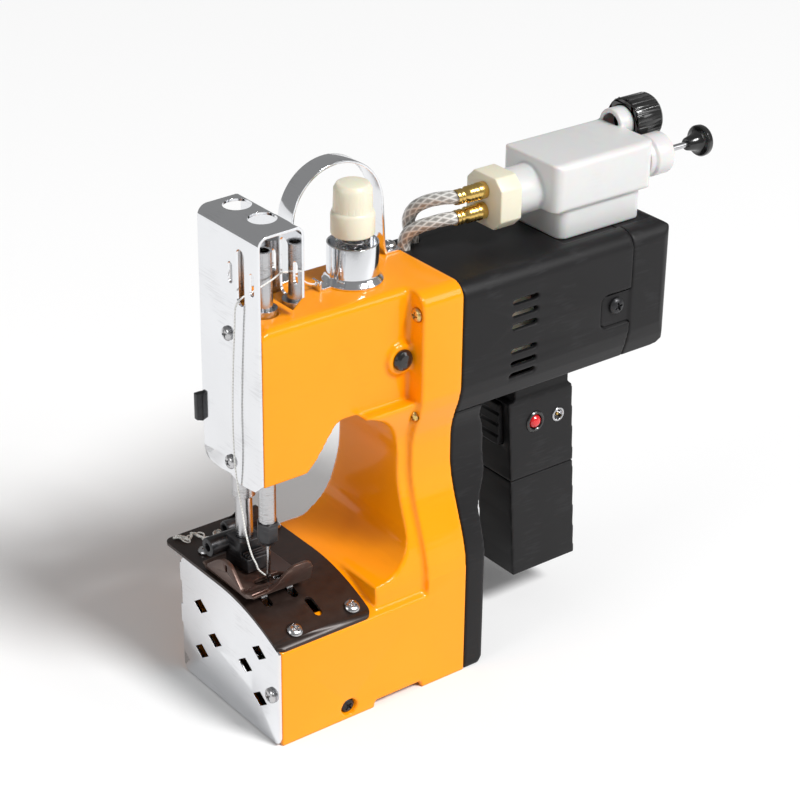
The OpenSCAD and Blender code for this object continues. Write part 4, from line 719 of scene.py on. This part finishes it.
def put(tree, kind, links=(), **values):
    """A geometry node with properties in lower case, and inputs given as (socket, source)."""
    node = tree.nodes.new(kind)
    for key, value in values.items():
        setattr(node, key, value)
    for socket, source in links:
        if isinstance(source, bpy.types.NodeSocket):
            tree.links.new(source, node.inputs[socket])
        else:
            node.inputs[socket].default_value = source
    return node


def times(tree, first, second):
    """Product of two sockets or numbers."""
    return put(tree, "ShaderNodeMath", [(0, first), (1, second)], operation="MULTIPLY").outputs[0]


def vector_of(tree, x, y, z):
    """A vector from three sockets or numbers."""
    return put(tree, "ShaderNodeCombineXYZ", [(0, x), (1, y), (2, z)]).outputs[0]


def close_tree(tree, end, geometry, material):
    """Ends a tree in Realize Instances and Set Material."""
    real = put(tree, "GeometryNodeRealizeInstances", [("Geometry", geometry)])
    painted = put(tree, "GeometryNodeSetMaterial",
                  [("Geometry", real.outputs["Geometry"]), ("Material", material)])
    tree.links.new(painted.outputs["Geometry"], end.inputs["Geometry"])


def screw_tree():
    """A pan screw with a cross recess on every vertex, turned to face along its 'facing' vector."""
    tree, start, end = geometry_tree("Cross_recess_screws", [
        ("Head diameter", "NodeSocketFloat"), ("Head height", "NodeSocketFloat"),
        ("Recess share", "NodeSocketFloat"), ("Material", "NodeSocketMaterial")])
    width, height = start.outputs["Head diameter"], start.outputs["Head height"]
    share = start.outputs["Recess share"]
    dome = None
    rows = ((0.47, 0.50, 0.0, 0.12), (0.50, 0.50, 0.12, 0.38), (0.50, 0.455, 0.38, 0.62),
            (0.455, 0.36, 0.62, 0.84), (0.36, 0.20, 0.84, 1.0))
    for low, high, z0, z1 in rows:
        ring = put(tree, "GeometryNodeMeshCone", [
            ("Vertices", 40), ("Radius Bottom", times(tree, width, low)),
            ("Radius Top", times(tree, width, high)), ("Depth", times(tree, height, z1 - z0))])
        lifted = put(tree, "GeometryNodeTransform", [
            ("Geometry", ring.outputs["Mesh"]),
            ("Translation", vector_of(tree, 0.0, 0.0, times(tree, height, z0)))])
        if dome is None:
            dome = lifted.outputs[0]
            continue
        joined = put(tree, "GeometryNodeMeshBoolean", operation="UNION", solver="EXACT")
        tree.links.new(dome, joined.inputs["Mesh 2"])
        tree.links.new(lifted.outputs[0], joined.inputs["Mesh 2"])
        dome = joined.outputs["Mesh"]
    cut = put(tree, "GeometryNodeMeshBoolean", operation="DIFFERENCE", solver="EXACT")
    tree.links.new(dome, cut.inputs["Mesh 1"])
    span = times(tree, width, share)
    for turned in (False, True):
        long, short = span, times(tree, width, 0.115)
        across, along = (short, long) if turned else (long, short)
        size = vector_of(tree, across, along, height)
        arm = put(tree, "GeometryNodeMeshCube", [("Size", size)])
        sunk = put(tree, "GeometryNodeTransform", [
            ("Geometry", arm.outputs["Mesh"]),
            ("Translation", vector_of(tree, 0.0, 0.0, times(tree, height, 1.05)))])
        tree.links.new(sunk.outputs[0], cut.inputs["Mesh 2"])
    well = put(tree, "GeometryNodeMeshCone", [
        ("Vertices", 20), ("Radius Bottom", times(tree, width, 0.03)),
        ("Radius Top", times(tree, width, 0.18)), ("Depth", times(tree, height, 0.72))])
    low_well = put(tree, "GeometryNodeTransform", [
        ("Geometry", well.outputs["Mesh"]),
        ("Translation", vector_of(tree, 0.0, 0.0, times(tree, height, 0.36)))])
    tree.links.new(low_well.outputs[0], cut.inputs["Mesh 2"])
    facing = put(tree, "GeometryNodeInputNamedAttribute", [("Name", "facing")],
                 data_type="FLOAT_VECTOR")
    spin = put(tree, "GeometryNodeInputNamedAttribute", [("Name", "spin")], data_type="FLOAT")
    share_of = put(tree, "GeometryNodeInputNamedAttribute", [("Name", "share")], data_type="FLOAT")
    aim = put(tree, "FunctionNodeAlignRotationToVector",
              [("Vector", facing.outputs["Attribute"])], axis="Z")
    about = put(tree, "FunctionNodeAxisAngleToRotation",
                [("Axis", (0, 0, 1)), ("Angle", spin.outputs["Attribute"])])
    whole = put(tree, "FunctionNodeRotateRotation", [
        ("Rotation", aim.outputs["Rotation"]), ("Rotate By", about.outputs["Rotation"])],
        rotation_space="LOCAL")
    spread = put(tree, "GeometryNodeInstanceOnPoints", [
        ("Points", start.outputs["Geometry"]), ("Instance", cut.outputs["Mesh"]),
        ("Rotation", whole.outputs["Rotation"]), ("Scale", share_of.outputs["Attribute"])])
    close_tree(tree, end, spread.outputs["Instances"], start.outputs["Material"])
    return tree


def spring_tree():
    """A round-wire spring along an axis, from one radius to another."""
    tree, start, end = geometry_tree("Coil_spring", [
        ("Turns", "NodeSocketFloat"), ("Start radius", "NodeSocketFloat"),
        ("End radius", "NodeSocketFloat"), ("Height", "NodeSocketFloat"),
        ("Wire", "NodeSocketFloat"), ("Place", "NodeSocketVector"),
        ("Turned", "NodeSocketVector"), ("Material", "NodeSocketMaterial")])
    spiral = put(tree, "GeometryNodeCurveSpiral", [
        ("Resolution", 40), ("Rotations", start.outputs["Turns"]),
        ("Start Radius", start.outputs["Start radius"]),
        ("End Radius", start.outputs["End radius"]), ("Height", start.outputs["Height"])])
    wire = put(tree, "GeometryNodeCurvePrimitiveCircle", [
        ("Resolution", 12), ("Radius", times(tree, start.outputs["Wire"], 0.5))])
    solid = put(tree, "GeometryNodeCurveToMesh", [
        ("Curve", spiral.outputs["Curve"]), ("Profile Curve", wire.outputs["Curve"]),
        ("Fill Caps", True)])
    rotation = put(tree, "FunctionNodeEulerToRotation", [("Euler", start.outputs["Turned"])])
    placed = put(tree, "GeometryNodeTransform", [
        ("Geometry", solid.outputs["Mesh"]), ("Translation", start.outputs["Place"]),
        ("Rotation", rotation.outputs["Rotation"])])
    close_tree(tree, end, placed.outputs[0], start.outputs["Material"])
    return tree


TREES = {}


def grown(name, tree_name, points, material, attributes=(), **values):
    """A piece made by a geometry tree on some points, turned into a plain mesh."""
    makers = {"screws": screw_tree, "spring": spring_tree}
    if tree_name not in TREES:
        TREES[tree_name] = makers[tree_name]()
    tree = TREES[tree_name]
    mesh = bpy.data.meshes.new(name)
    mesh.from_pydata([tuple(p) for p in points], [], [])
    for label, kind, data in attributes:
        layer = mesh.attributes.new(label, kind, "POINT")
        key = "vector" if kind == "FLOAT_VECTOR" else "value"
        for i, value in enumerate(data):
            setattr(layer.data[i], key, value)
    piece = bpy.data.objects.new(name, mesh)
    bpy.context.scene.collection.objects.link(piece)
    modifier = piece.modifiers.new(tree_name, "NODES")
    modifier.node_group = tree
    values["Material"] = MATERIALS[material]
    for item in tree.interface.items_tree:
        if item.in_out == "INPUT" and item.name in values:
            modifier[item.identifier] = values[item.name]
    flatten_modifiers(piece)
    work = bmesh.new()
    work.from_mesh(piece.data)
    bmesh.ops.remove_doubles(work, verts=work.verts, dist=0.002 * MM)
    bmesh.ops.recalc_face_normals(work, faces=work.faces)
    work.to_mesh(piece.data)
    work.free()
    smooth_by_angle(piece.data, 33.0)
    return piece


def screws(name, node, seats, material, slot, sizes):
    """Screws of one kind. Each seat is (place in mm, facing, share of full size, spin in degrees)."""
    piece = grown(
        name, "screws", [Vector(s[0]) * MM for s in seats], material,
        attributes=(
            ("facing", "FLOAT_VECTOR", [Vector(s[1]).normalized() for s in seats]),
            ("share", "FLOAT", [s[2] for s in seats]),
            ("spin", "FLOAT", [math.radians(s[3]) for s in seats])),
        **{"Head diameter": sizes.screw_head, "Head height": sizes.screw_height,
           "Recess share": sizes.screw_recess})
    return finished(piece, body_of_node(node), slot, node)


# ---------------------------------------------------------------- operators

class BAGCLOSER_OT_finishes(bpy.types.Operator):
    """Make every finish"""

    bl_idname = "bag_closer.finishes"
    bl_label = "Finishes"

    def execute(self, context):
        make_finishes(context.scene.bag_closer_colours)
        return {"FINISHED"}


class BAGCLOSER_OT_casting(bpy.types.Operator):
    """Round and paint the casting"""

    bl_idname = "bag_closer.casting"
    bl_label = "Painted casting"

    def execute(self, context):
        moulded("main_frame", "orange_enamel", CAST_VOXEL, CASTING_ROUNDS, "orange_paint")
        softened("bottom_cover", "blackened_steel", 0.4 * MM, "dark_steel")
        return {"FINISHED"}


class BAGCLOSER_OT_covers(bpy.types.Operator):
    """Finish the bright covers, the needle plate and the thread arch"""

    bl_idname = "bag_closer.covers"
    bl_label = "Sheet covers"

    def execute(self, context):
        edge = context.scene.bag_closer_sizes.sheet_edge
        creased("face_cover", "chromed_sheet_steel", "chromed_sheet")
        creased("front_cover", "chromed_sheet_steel", "chromed_sheet")
        softened("thread_arch", "chromed_sheet_steel", edge, "chromed_sheet")
        creased("needle_plate", "browned_plate", "dark_plate")
        return {"FINISHED"}


class BAGCLOSER_OT_housings(bpy.types.Operator):
    """Round the moulded housings, the grip and the battery pack"""

    bl_idname = "bag_closer.housings"
    bl_label = "Black mouldings"

    def execute(self, context):
        for name in ("motor_housing", "end_cap", "rear_cover", "grip_case", "battery_case"):
            moulded(name, "spark_textured_black", HOUSING_VOXEL, HOUSING_ROUNDS, "black_plastic")
        softened("trigger", "spark_textured_black", 0.8 * MM, "black_plastic")
        repainted("trigger_switch", "smooth_black")
        repainted("battery_cells", "cell_wrap")
        repainted("power_button", "button_red")
        ring_of_button()
        socket_of_charger()
        return {"FINISHED"}


def ring_of_button():
    """Dark collar round the power button."""
    low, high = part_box("power_button")
    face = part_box("grip_case")[0].y
    middle = Vector(((low.x + high.x) / 2, face, (low.z + high.z) / 2))
    collar = [(3.8, 0.2), (3.8, -0.45), (4.2, -0.8), (5.0, -0.8), (5.5, -0.35), (5.6, 0.2)]
    piece = turned_piece("button_collar", [(r, -h) for r, h in collar], middle, (0, -1, 0),
                         "smooth_black")
    finished(piece, body_of_node("grip_case"), "black_plastic")


def socket_of_charger():
    """Charging socket: a bright ring, a dark well and a centre pin."""
    low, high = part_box("charge_socket")
    middle = Vector(((low.x + high.x) / 2, low.y, (low.z + high.z) / 2))
    size = (high.z - low.z) / 2 / MM
    ring = [(0, 5.0), (size * 0.99, 5.0), (size * 0.99, 0.25), (size * 0.93, 0.0),
            (size * 0.74, 0.0), (size * 0.68, 0.3), (size * 0.66, 4.2), (0, 4.2)]
    piece = turned_piece("charge_socket_ring", [(r, -h) for r, h in ring], middle, (0, -1, 0),
                         "ground_steel")
    finished(piece, body_of_node("charge_socket"), "steel", "charge_socket")
    pin = [(0, 4.4), (0.8, 4.4), (0.8, 1.2), (0.55, 0.8), (0, 0.8)]
    piece = turned_piece("charge_socket_pin", [(r, -h) for r, h in pin], middle, (0, -1, 0),
                         "turned_brass", 20)
    finished(piece, body_of_node("charge_socket"), "steel")


class BAGCLOSER_OT_tension(bpy.types.Operator):
    """Make the thread tension unit"""

    bl_idname = "bag_closer.tension"
    bl_label = "Thread tension"

    def execute(self, context):
        sizes = context.scene.bag_closer_sizes
        softened("tension_cup", "chromed_sheet_steel", 0.25 * MM, "chromed_sheet")
        repainted("tension_discs", "chromed_sheet_steel")
        softened("tension_nut", "moulded_nylon", 0.35 * MM, "natural_nylon")
        low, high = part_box("tension_spring")
        wire = sizes.tension_wire
        middle = node_middle("tension_nut")
        piece = grown(
            "tension_spring_coil", "spring", [(0, 0, 0)], "ground_steel",
            **{"Turns": sizes.tension_turns, "Start radius": 7.6 * MM, "End radius": 5.2 * MM,
               "Height": high.z - low.z - wire, "Wire": wire,
               "Place": (middle.x, middle.y, low.z + wire / 2), "Turned": (0.0, 0.0, 0.0)})
        finished(piece, body_of_node("tension_spring"), "steel", "tension_spring")
        return {"FINISHED"}


class BAGCLOSER_OT_oil(bpy.types.Operator):
    """Make the oil bottle, its pump and its manifold"""

    bl_idname = "bag_closer.oil"
    bl_label = "Oil bottle and pump"

    def execute(self, context):
        moulded("oil_bottle", "milky_polythene", BOTTLE_VOXEL, BOTTLE_ROUNDS, "bottle_plastic")
        softened("hose_manifold", "moulded_nylon", 0.7 * MM, "natural_nylon", segments=3)
        softened("pump_cylinder", "milky_polythene", 0.35 * MM, "bottle_plastic")
        softened("oil_cap", "smooth_black", 0.3 * MM, "knob_black")
        softened("hose_barbs", "turned_brass", 0.12 * MM, "brass")
        repainted("pump_plunger", "smooth_black")
        plunger_rod()
        return {"FINISHED"}


def plunger_rod():
    """Bright rod and turned knob of the oil pump."""
    low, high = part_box("pump_plunger")
    middle = node_middle("pump_plunger")
    rod = [(0, 0), (4.4, 0), (4.4, 4), (1.5, 4), (1.5, 33.0), (0, 33.0)]
    start = Vector((low.x, middle.y, middle.z))
    piece = turned_piece("plunger_rod", rod, start, (1, 0, 0), "ground_steel", 28)
    finished(piece, body_of_node("pump_plunger"), "steel", "pump_plunger")
    knob = [(0, 0), (2.8, 0), (3.1, 0.4), (4.0, 4.0), (4.6, 6.6), (5.4, 7.4), (7.2, 7.8),
            (7.7, 8.5), (7.7, 10.4), (7.3, 11.2), (6.4, 11.7), (4.0, 11.8), (0, 11.8)]
    start = Vector((high.x - 11.8 * MM, middle.y, middle.z))
    piece = turned_piece("plunger_knob", knob, start, (1, 0, 0), "smooth_black", 56)
    finished(piece, body_of_node("pump_plunger"), "knob_black")


HOSES = {
    "oil_hose_upper": [(112.5, 0, 225), (110.6, 0, 225), (107.6, 1.7, 224.9), (104.4, 4.6, 224.3),
                       (100.5, 9.5, 222.2), (97.8, 15, 218), (97.4, 19, 212), (99, 21, 206),
                       (101.2, 21.5, 200.8), (101.5, 21.5, 195.0)],
    "oil_hose_lower": [(112.5, 0, 215), (110.6, 0, 215), (107.6, 0.7, 215), (104.5, 2.4, 214.6),
                       (100, 5.6, 213), (96, 10, 210.4), (93.4, 14, 206.6), (93, 16.6, 201.6),
                       (93, 17, 195.0)],
}


class BAGCLOSER_OT_hoses(bpy.types.Operator):
    """Make the two braided oil hoses"""

    bl_idname = "bag_closer.hoses"
    bl_label = "Oil hoses"

    def execute(self, context):
        sizes = context.scene.bag_closer_sizes
        for name, route in HOSES.items():
            path = smooth_path([Vector(p) * MM for p in route], 0.5 * MM)
            mesh = tube_mesh(name + "_braided", path, sizes.hose_diameter, 20, sizes.braid_pitch)
            piece = new_piece(name + "_braided", mesh, "braided_hose")
            finished(piece, "machine", "hose", name)
            ferrule_on_hose(name, path[0])
        return {"FINISHED"}


def ferrule_on_hose(name, start):
    """Crimped brass ferrule where a hose leaves its barb."""
    profile = [(3.15, 0.2), (3.15, -3.6), (3.45, -3.9), (3.45, -3.2), (3.6, -2.9), (3.6, -2.1),
               (3.4, -1.8), (3.4, -1.2), (3.6, -0.9), (3.6, 0.0), (3.45, 0.3), (3.15, 0.2)]
    mesh = turned_mesh(name + "_ferrule", [(r * MM, h * MM) for r, h in profile], start,
                       (1, 0, 0), 36)
    work = bmesh.new()
    work.from_mesh(mesh)
    bmesh.ops.remove_doubles(work, verts=work.verts, dist=0.005 * MM)
    bmesh.ops.recalc_face_normals(work, faces=work.faces)
    work.to_mesh(mesh)
    work.free()
    piece = new_piece(name + "_ferrule", mesh, "turned_brass")
    finished(piece, "machine", "brass")


THREAD = [(34.6, 0, 203), (30.4, -0.2, 203.1), (25, -2.2, 206), (18, -5, 212), (9, -8.2, 217.4),
          (0, -11.6, 217), (-8, -10.8, 214), (-13.4, -9.6, 211.8), (-16.2, -8.8, 208),
          (-16.4, -7.9, 198), (-16.5, -6.2, 178), (-16.5, -5, 156), (-16.3, -5.2, 134),
          (-15, -5.4, 119), (-13, -5.5, 105), (-11.2, -5.5, 93), (-8.6, -5.6, 82),
          (-6.4, -5.8, 76.5), (-5.2, -5.9, 73), (-1.7, -6, 68.9)]
TAIL = [(8, 40, 64.6), (4, 43.6, 65.4), (0.2, 41.2, 64.9), (-3, 45.2, 64.8), (-5.2, 49.3, 65.6),
        (-9, 46.8, 64.9), (-12, 50.6, 65.2), (-14.2, 52.6, 64.8)]


class BAGCLOSER_OT_threads(bpy.types.Operator):
    """Make the needle thread and the sewn thread tail"""

    bl_idname = "bag_closer.threads"
    bl_label = "Threads"

    def execute(self, context):
        sizes = context.scene.bag_closer_sizes
        path = smooth_path([Vector(p) * MM for p in THREAD], 1.0 * MM)
        mesh = tube_mesh("needle_thread_twisted", path, sizes.thread_diameter, 10,
                         THREAD_PITCH)
        piece = new_piece("needle_thread_twisted", mesh, "twisted_thread")
        finished(piece, "machine", "thread", "needle_thread")
        path = smooth_path([Vector(p) * MM for p in TAIL], 0.4 * MM)
        mesh = tube_mesh("thread_tail_chain", path, TAIL_DIAMETER, 10, THREAD_PITCH)
        chain = new_piece("thread_tail_chain", mesh, "twisted_thread")
        finished(chain, "machine", "thread", "thread_tail")
        loops = chain_loops(path)
        return {"FINISHED"}


def chain_loops(path):
    """Small loops of the sewn chain round the tail, and the knot at its end."""
    work = bmesh.new()
    layer = work.loops.layers.uv.new("UVMap")
    count = 9
    for n in range(count):
        i = round((n + 0.8) / (count + 0.4) * (len(path) - 2))
        ahead = (path[i + 1] - path[i]).normalized()
        side = Vector((0, 0, 1)).cross(ahead).normalized() * (1 if n % 2 else -1)
        radius = (1.5 + 0.35 * math.sin(2.1 * n)) * MM
        if n == count - 1:
            radius = 1.25 * MM
        ring = []
        for k in range(26):
            a = 2 * math.pi * k / 26
            flat = ahead * math.cos(a) * radius * 1.25 + side * (0.7 + math.sin(a)) * radius * 0.62
            lift = Vector((0, 0, (0.35 + 0.75 * math.cos(a + n)) * MM))
            ring.append(path[i] + flat + lift)
        ring = ring[: 25 if n % 3 else 24]
        part = tube_mesh("loop", ring, 0.75 * MM, 8, 1.4 * MM)
        work.from_mesh(part)
        bpy.data.meshes.remove(part)
    mesh = bpy.data.meshes.new("thread_tail_loops")
    work.to_mesh(mesh)
    work.free()
    smooth_by_angle(mesh, 50.0)
    piece = new_piece("thread_tail_loops", mesh, "twisted_thread")
    finished(piece, "machine", "thread")
    return piece


class BAGCLOSER_OT_screws(bpy.types.Operator):
    """Put a cross-recessed screw in every seat"""

    bl_idname = "bag_closer.screws"
    bl_label = "Screws"

    def execute(self, context):
        sizes = context.scene.bag_closer_sizes
        front, left, up, down = (-1, 0, 0), (0, 1, 0), (0, 0, 1), (0, 0, -1)
        seats = [((-14, 1, 191.5), front, 0.89, 20), ((-14, 1, 128.7), front, 0.89, 65),
                 ((-18, -34, 25.5), front, 1.0, 35)]
        seats += [((-11.8, 41.3, z), left, 0.89, turn) for z, turn in ((31, 10), (54, 50))]
        for x, y, turn in ((-5, -33, 15), (27, -32.5, 60), (-8, 34, 5), (30, 34, 40)):
            seats.append((*plate_seat(x, y), 1.0, turn))
        seats += [((85, 18, 201.3), up, 0.92, 25), ((22, 18, 201.3), up, 0.92, 70)]
        seats += [((x, y, 3.35), down, 0.98, 12 * x + y) for x in (48, 77) for y in (-32, 32)]
        screws("pan_screw_heads", "pan_screws", seats, "ground_steel", "steel", sizes)
        seats = [((66.5, side * y, z), front, 0.9, 33 * side + y)
                 for y, z in ((28, 189), (26.3, 138.8)) for side in (-1, 1)]
        screws("flange_screw_heads", "flange_screws", seats, "yellow_zinc", "zinc_yellow", sizes)
        seats = [((21, side * 37.0, 6.1), (0, side, 0), 1.0, 40) for side in (-1, 1)]
        seats += [((181.5, side * 32.2, 164), (0, side, 0), 1.1, 20) for side in (-1, 1)]
        screws("black_screw_heads", "black_screws", seats, "blackened_steel", "dark_steel", sizes)
        return {"FINISHED"}


def plate_seat(x, y):
    """Place and direction of a screw on the curved needle plate."""
    base, roof_y, drop, half = 62.5, 8.0, 12.8, 40.0
    fall = (roof_y - y) / (roof_y + half) if y < roof_y else 0.0
    slope = 2 * drop * fall / (roof_y + half) if y < roof_y else 0.0
    normal = Vector((0, -slope, 1)).normalized()
    place = Vector((x, y, base - drop * fall * fall)) + normal * 1.6
    return tuple(place), tuple(normal)


class BAGCLOSER_OT_needle_parts(bpy.types.Operator):
    """Finish the needle bar, presser foot, looper and feed"""

    bl_idname = "bag_closer.needle_parts"
    bl_label = "Needle and presser"

    def execute(self, context):
        softened("presser_foot", "browned_foot", 0.35 * MM, "dark_plate", segments=3)
        softened("presser_shank", "blackened_steel", 0.45 * MM, "dark_steel")
        softened("thread_cutter", "blackened_steel", 0.5 * MM, "dark_steel")
        softened("lift_lever", "blackened_steel", 0.4 * MM, "steel")
        softened("needle_nut", "blackened_steel", 0.2 * MM, "dark_steel")
        for name in ("needle_bar", "needle", "presser_bar", "presser_bar_sleeve",
                     "needle_bar_bushes", "looper", "feed_dog"):
            repainted(name, "ground_steel")
        repainted("bar_clamp", "grey_iron")
        low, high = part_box("presser_spring")
        wire = 1.2 * MM
        middle = (low + high) / 2
        piece = grown(
            "presser_spring_coil", "spring", [(0, 0, 0)], "ground_steel",
            **{"Turns": 7.0, "Start radius": (high.x - low.x - wire) / 2,
               "End radius": (high.x - low.x - wire) / 2, "Height": high.z - low.z - wire,
               "Wire": wire, "Place": (middle.x, middle.y, low.z + wire / 2),
               "Turned": (0.0, 0.0, 0.0)})
        finished(piece, body_of_node("presser_spring"), "steel", "presser_spring")
        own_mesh(piece)
        low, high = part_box("plunger_spring")
        wire = 0.7 * MM
        middle = (low + high) / 2
        piece = grown(
            "plunger_spring_coil", "spring", [(0, 0, 0)], "ground_steel",
            **{"Turns": 4.0, "Start radius": (high.z - low.z - wire) / 2,
               "End radius": (high.z - low.z - wire) / 2, "Height": high.x - low.x - wire,
               "Wire": wire, "Place": (low.x + wire / 2, middle.y, middle.z),
               "Turned": (0.0, math.pi / 2, 0.0)})
        finished(piece, body_of_node("plunger_spring"), "steel", "plunger_spring")
        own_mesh(piece)
        return {"FINISHED"}


class BAGCLOSER_OT_drive(bpy.types.Operator):
    """Finish the motor, belt, shafts and links inside the machine"""

    bl_idname = "bag_closer.drive"
    bl_label = "Motor and drive"

    def execute(self, context):
        for name in ("motor_bearings", "shaft_bearings", "motor_pulley", "main_shaft",
                     "main_pulley"):
            repainted(name, "ground_steel")
        repainted("motor_stator", "moulded_nylon")
        repainted("armature", "enamelled_copper")
        for name in ("needle_lever", "connecting_rod"):
            repainted(name, "grey_iron")
        repainted("cooling_fan", "moulded_nylon")
        repainted("drive_belt", "dull_rubber")
        repainted("lever_pin", "smooth_black")
        return {"FINISHED"}


class BAGCLOSER_OT_studio(bpy.types.Operator):
    """Set the camera, the floor and the lights"""

    bl_idname = "bag_closer.studio"
    bl_label = "Studio"

    def execute(self, context):
        studio = context.scene.bag_closer_studio
        place_camera(context.scene)
        mesh = bpy.data.meshes.new("studio_floor")
        corners = [(-FLOOR_HALF, -FLOOR_HALF), (FLOOR_HALF, -FLOOR_HALF),
                   (FLOOR_HALF, FLOOR_HALF), (-FLOOR_HALF, FLOOR_HALF)]
        mesh.from_pydata([(x, y, CAD_BOX[0][2] - FLOOR_GAP) for x, y in corners], [],
                         [(0, 1, 2, 3)])
        material = bpy.data.materials.new("studio_floor")
        material.use_nodes = True
        shader = material.node_tree.nodes["Principled BSDF"]
        shader.inputs["Base Color"].default_value = (*studio.floor, 1)
        shader.inputs["Roughness"].default_value = 0.9
        shader.inputs["Specular IOR Level"].default_value = 0.1
        mesh.materials.append(material)
        floor = bpy.data.objects.new("studio_floor", mesh)
        context.scene.collection.objects.link(floor)
        middle = (Vector(CAD_BOX[0]) + Vector(CAD_BOX[1])) / 2
        sun = bpy.data.lights.new("key_light", "SUN")
        sun.energy = studio.key
        sun.angle = math.radians(17.0)
        holder = bpy.data.objects.new("key_light", sun)
        holder.rotation_euler = Vector((-0.32, 0.98, -1.15)).to_track_quat("-Z", "Y").to_euler()
        context.scene.collection.objects.link(holder)
        area_light("side_light", middle + Vector((0.9, -1.1, 0.8)), middle, 0.6, studio.fill)
        area_light("left_light", middle + Vector((-1.5, -0.1, 0.7)), middle, 0.7, studio.fill)
        world = bpy.data.worlds.new("studio_room")
        world.use_nodes = True
        room = world.node_tree.nodes["Background"]
        room.inputs["Color"].default_value = (1.0, 1.0, 1.0, 1)
        room.inputs["Strength"].default_value = studio.room
        context.scene.world = world
        context.scene.view_settings.view_transform = "Standard"
        return {"FINISHED"}


def place_camera(scene):
    """Camera in front of the machine's left, looking down on it."""
    yaw, pitch, roll = math.radians(52.30), math.radians(27.285), math.radians(-0.764)
    ahead = Vector((math.cos(yaw) * math.cos(pitch), math.sin(yaw) * math.cos(pitch),
                    -math.sin(pitch)))
    right = Vector((math.sin(yaw), -math.cos(yaw), 0))
    down = ahead.cross(right)
    x_axis = math.cos(roll) * right + math.sin(roll) * down
    y_axis = math.sin(roll) * right - math.cos(roll) * down
    turn = Matrix((x_axis, y_axis, -ahead)).transposed()
    camera = bpy.data.cameras.new("studio_camera")
    camera.lens = 101.75
    camera.sensor_width = 36.0
    camera.clip_start = 0.05
    holder = bpy.data.objects.new("studio_camera", camera)
    holder.matrix_world = Matrix.Translation((-0.4898, -0.7358, 0.6111)) @ turn.to_4x4()
    scene.collection.objects.link(holder)
    scene.camera = holder


def area_light(name, place, target, size, power):
    """A square soft light aimed at a point."""
    lamp = bpy.data.lights.new(name, "AREA")
    lamp.size = size
    lamp.energy = power
    holder = bpy.data.objects.new(name, lamp)
    holder.location = place
    holder.rotation_euler = (target - place).to_track_quat("-Z", "Y").to_euler()
    bpy.context.scene.collection.objects.link(holder)


class BAGCLOSER_PT_panel(bpy.types.Panel):
    """Sidebar panel with the sizes, colours and steps"""

    bl_label = "Bag Closer"
    bl_idname = "BAGCLOSER_PT_panel"
    bl_space_type = "VIEW_3D"
    bl_region_type = "UI"
    bl_category = "Bag Closer"

    def draw(self, context):
        scene = context.scene
        for group in (scene.bag_closer_sizes, scene.bag_closer_colours, scene.bag_closer_studio):
            box = self.layout.box()
            for name in group.__annotations__:
                box.prop(group, name)
        for step in STEPS:
            self.layout.operator(step.bl_idname)


STEPS = (
    BAGCLOSER_OT_finishes, BAGCLOSER_OT_hoses, BAGCLOSER_OT_threads, BAGCLOSER_OT_casting,
    BAGCLOSER_OT_covers, BAGCLOSER_OT_housings, BAGCLOSER_OT_tension, BAGCLOSER_OT_oil,
    BAGCLOSER_OT_screws, BAGCLOSER_OT_needle_parts, BAGCLOSER_OT_drive, BAGCLOSER_OT_studio,
)
CLASSES = (BagCloserSizes, BagCloserColours, BagCloserStudio, *STEPS, BAGCLOSER_PT_panel)


def register():
    """Adds the classes and the scene's settings."""
    for item in CLASSES:
        bpy.utils.register_class(item)
    bpy.types.Scene.bag_closer_sizes = bpy.props.PointerProperty(type=BagCloserSizes)
    bpy.types.Scene.bag_closer_colours = bpy.props.PointerProperty(type=BagCloserColours)
    bpy.types.Scene.bag_closer_studio = bpy.props.PointerProperty(type=BagCloserStudio)


def unregister():
    """Removes the settings and the classes."""
    del bpy.types.Scene.bag_closer_sizes
    del bpy.types.Scene.bag_closer_colours
    del bpy.types.Scene.bag_closer_studio
    for item in reversed(CLASSES):
        bpy.utils.unregister_class(item)


def main():
    """Runs every step in order."""
    register()
    bpy.ops.bag_closer.studio()
    bpy.ops.bag_closer.finishes()
    bpy.ops.bag_closer.hoses()
    bpy.ops.bag_closer.threads()
    bpy.ops.bag_closer.casting()
    bpy.ops.bag_closer.covers()
    bpy.ops.bag_closer.housings()
    bpy.ops.bag_closer.tension()
    bpy.ops.bag_closer.oil()
    bpy.ops.bag_closer.screws()
    bpy.ops.bag_closer.needle_parts()
    bpy.ops.bag_closer.drive()


if __name__ == "__main__":
    main()
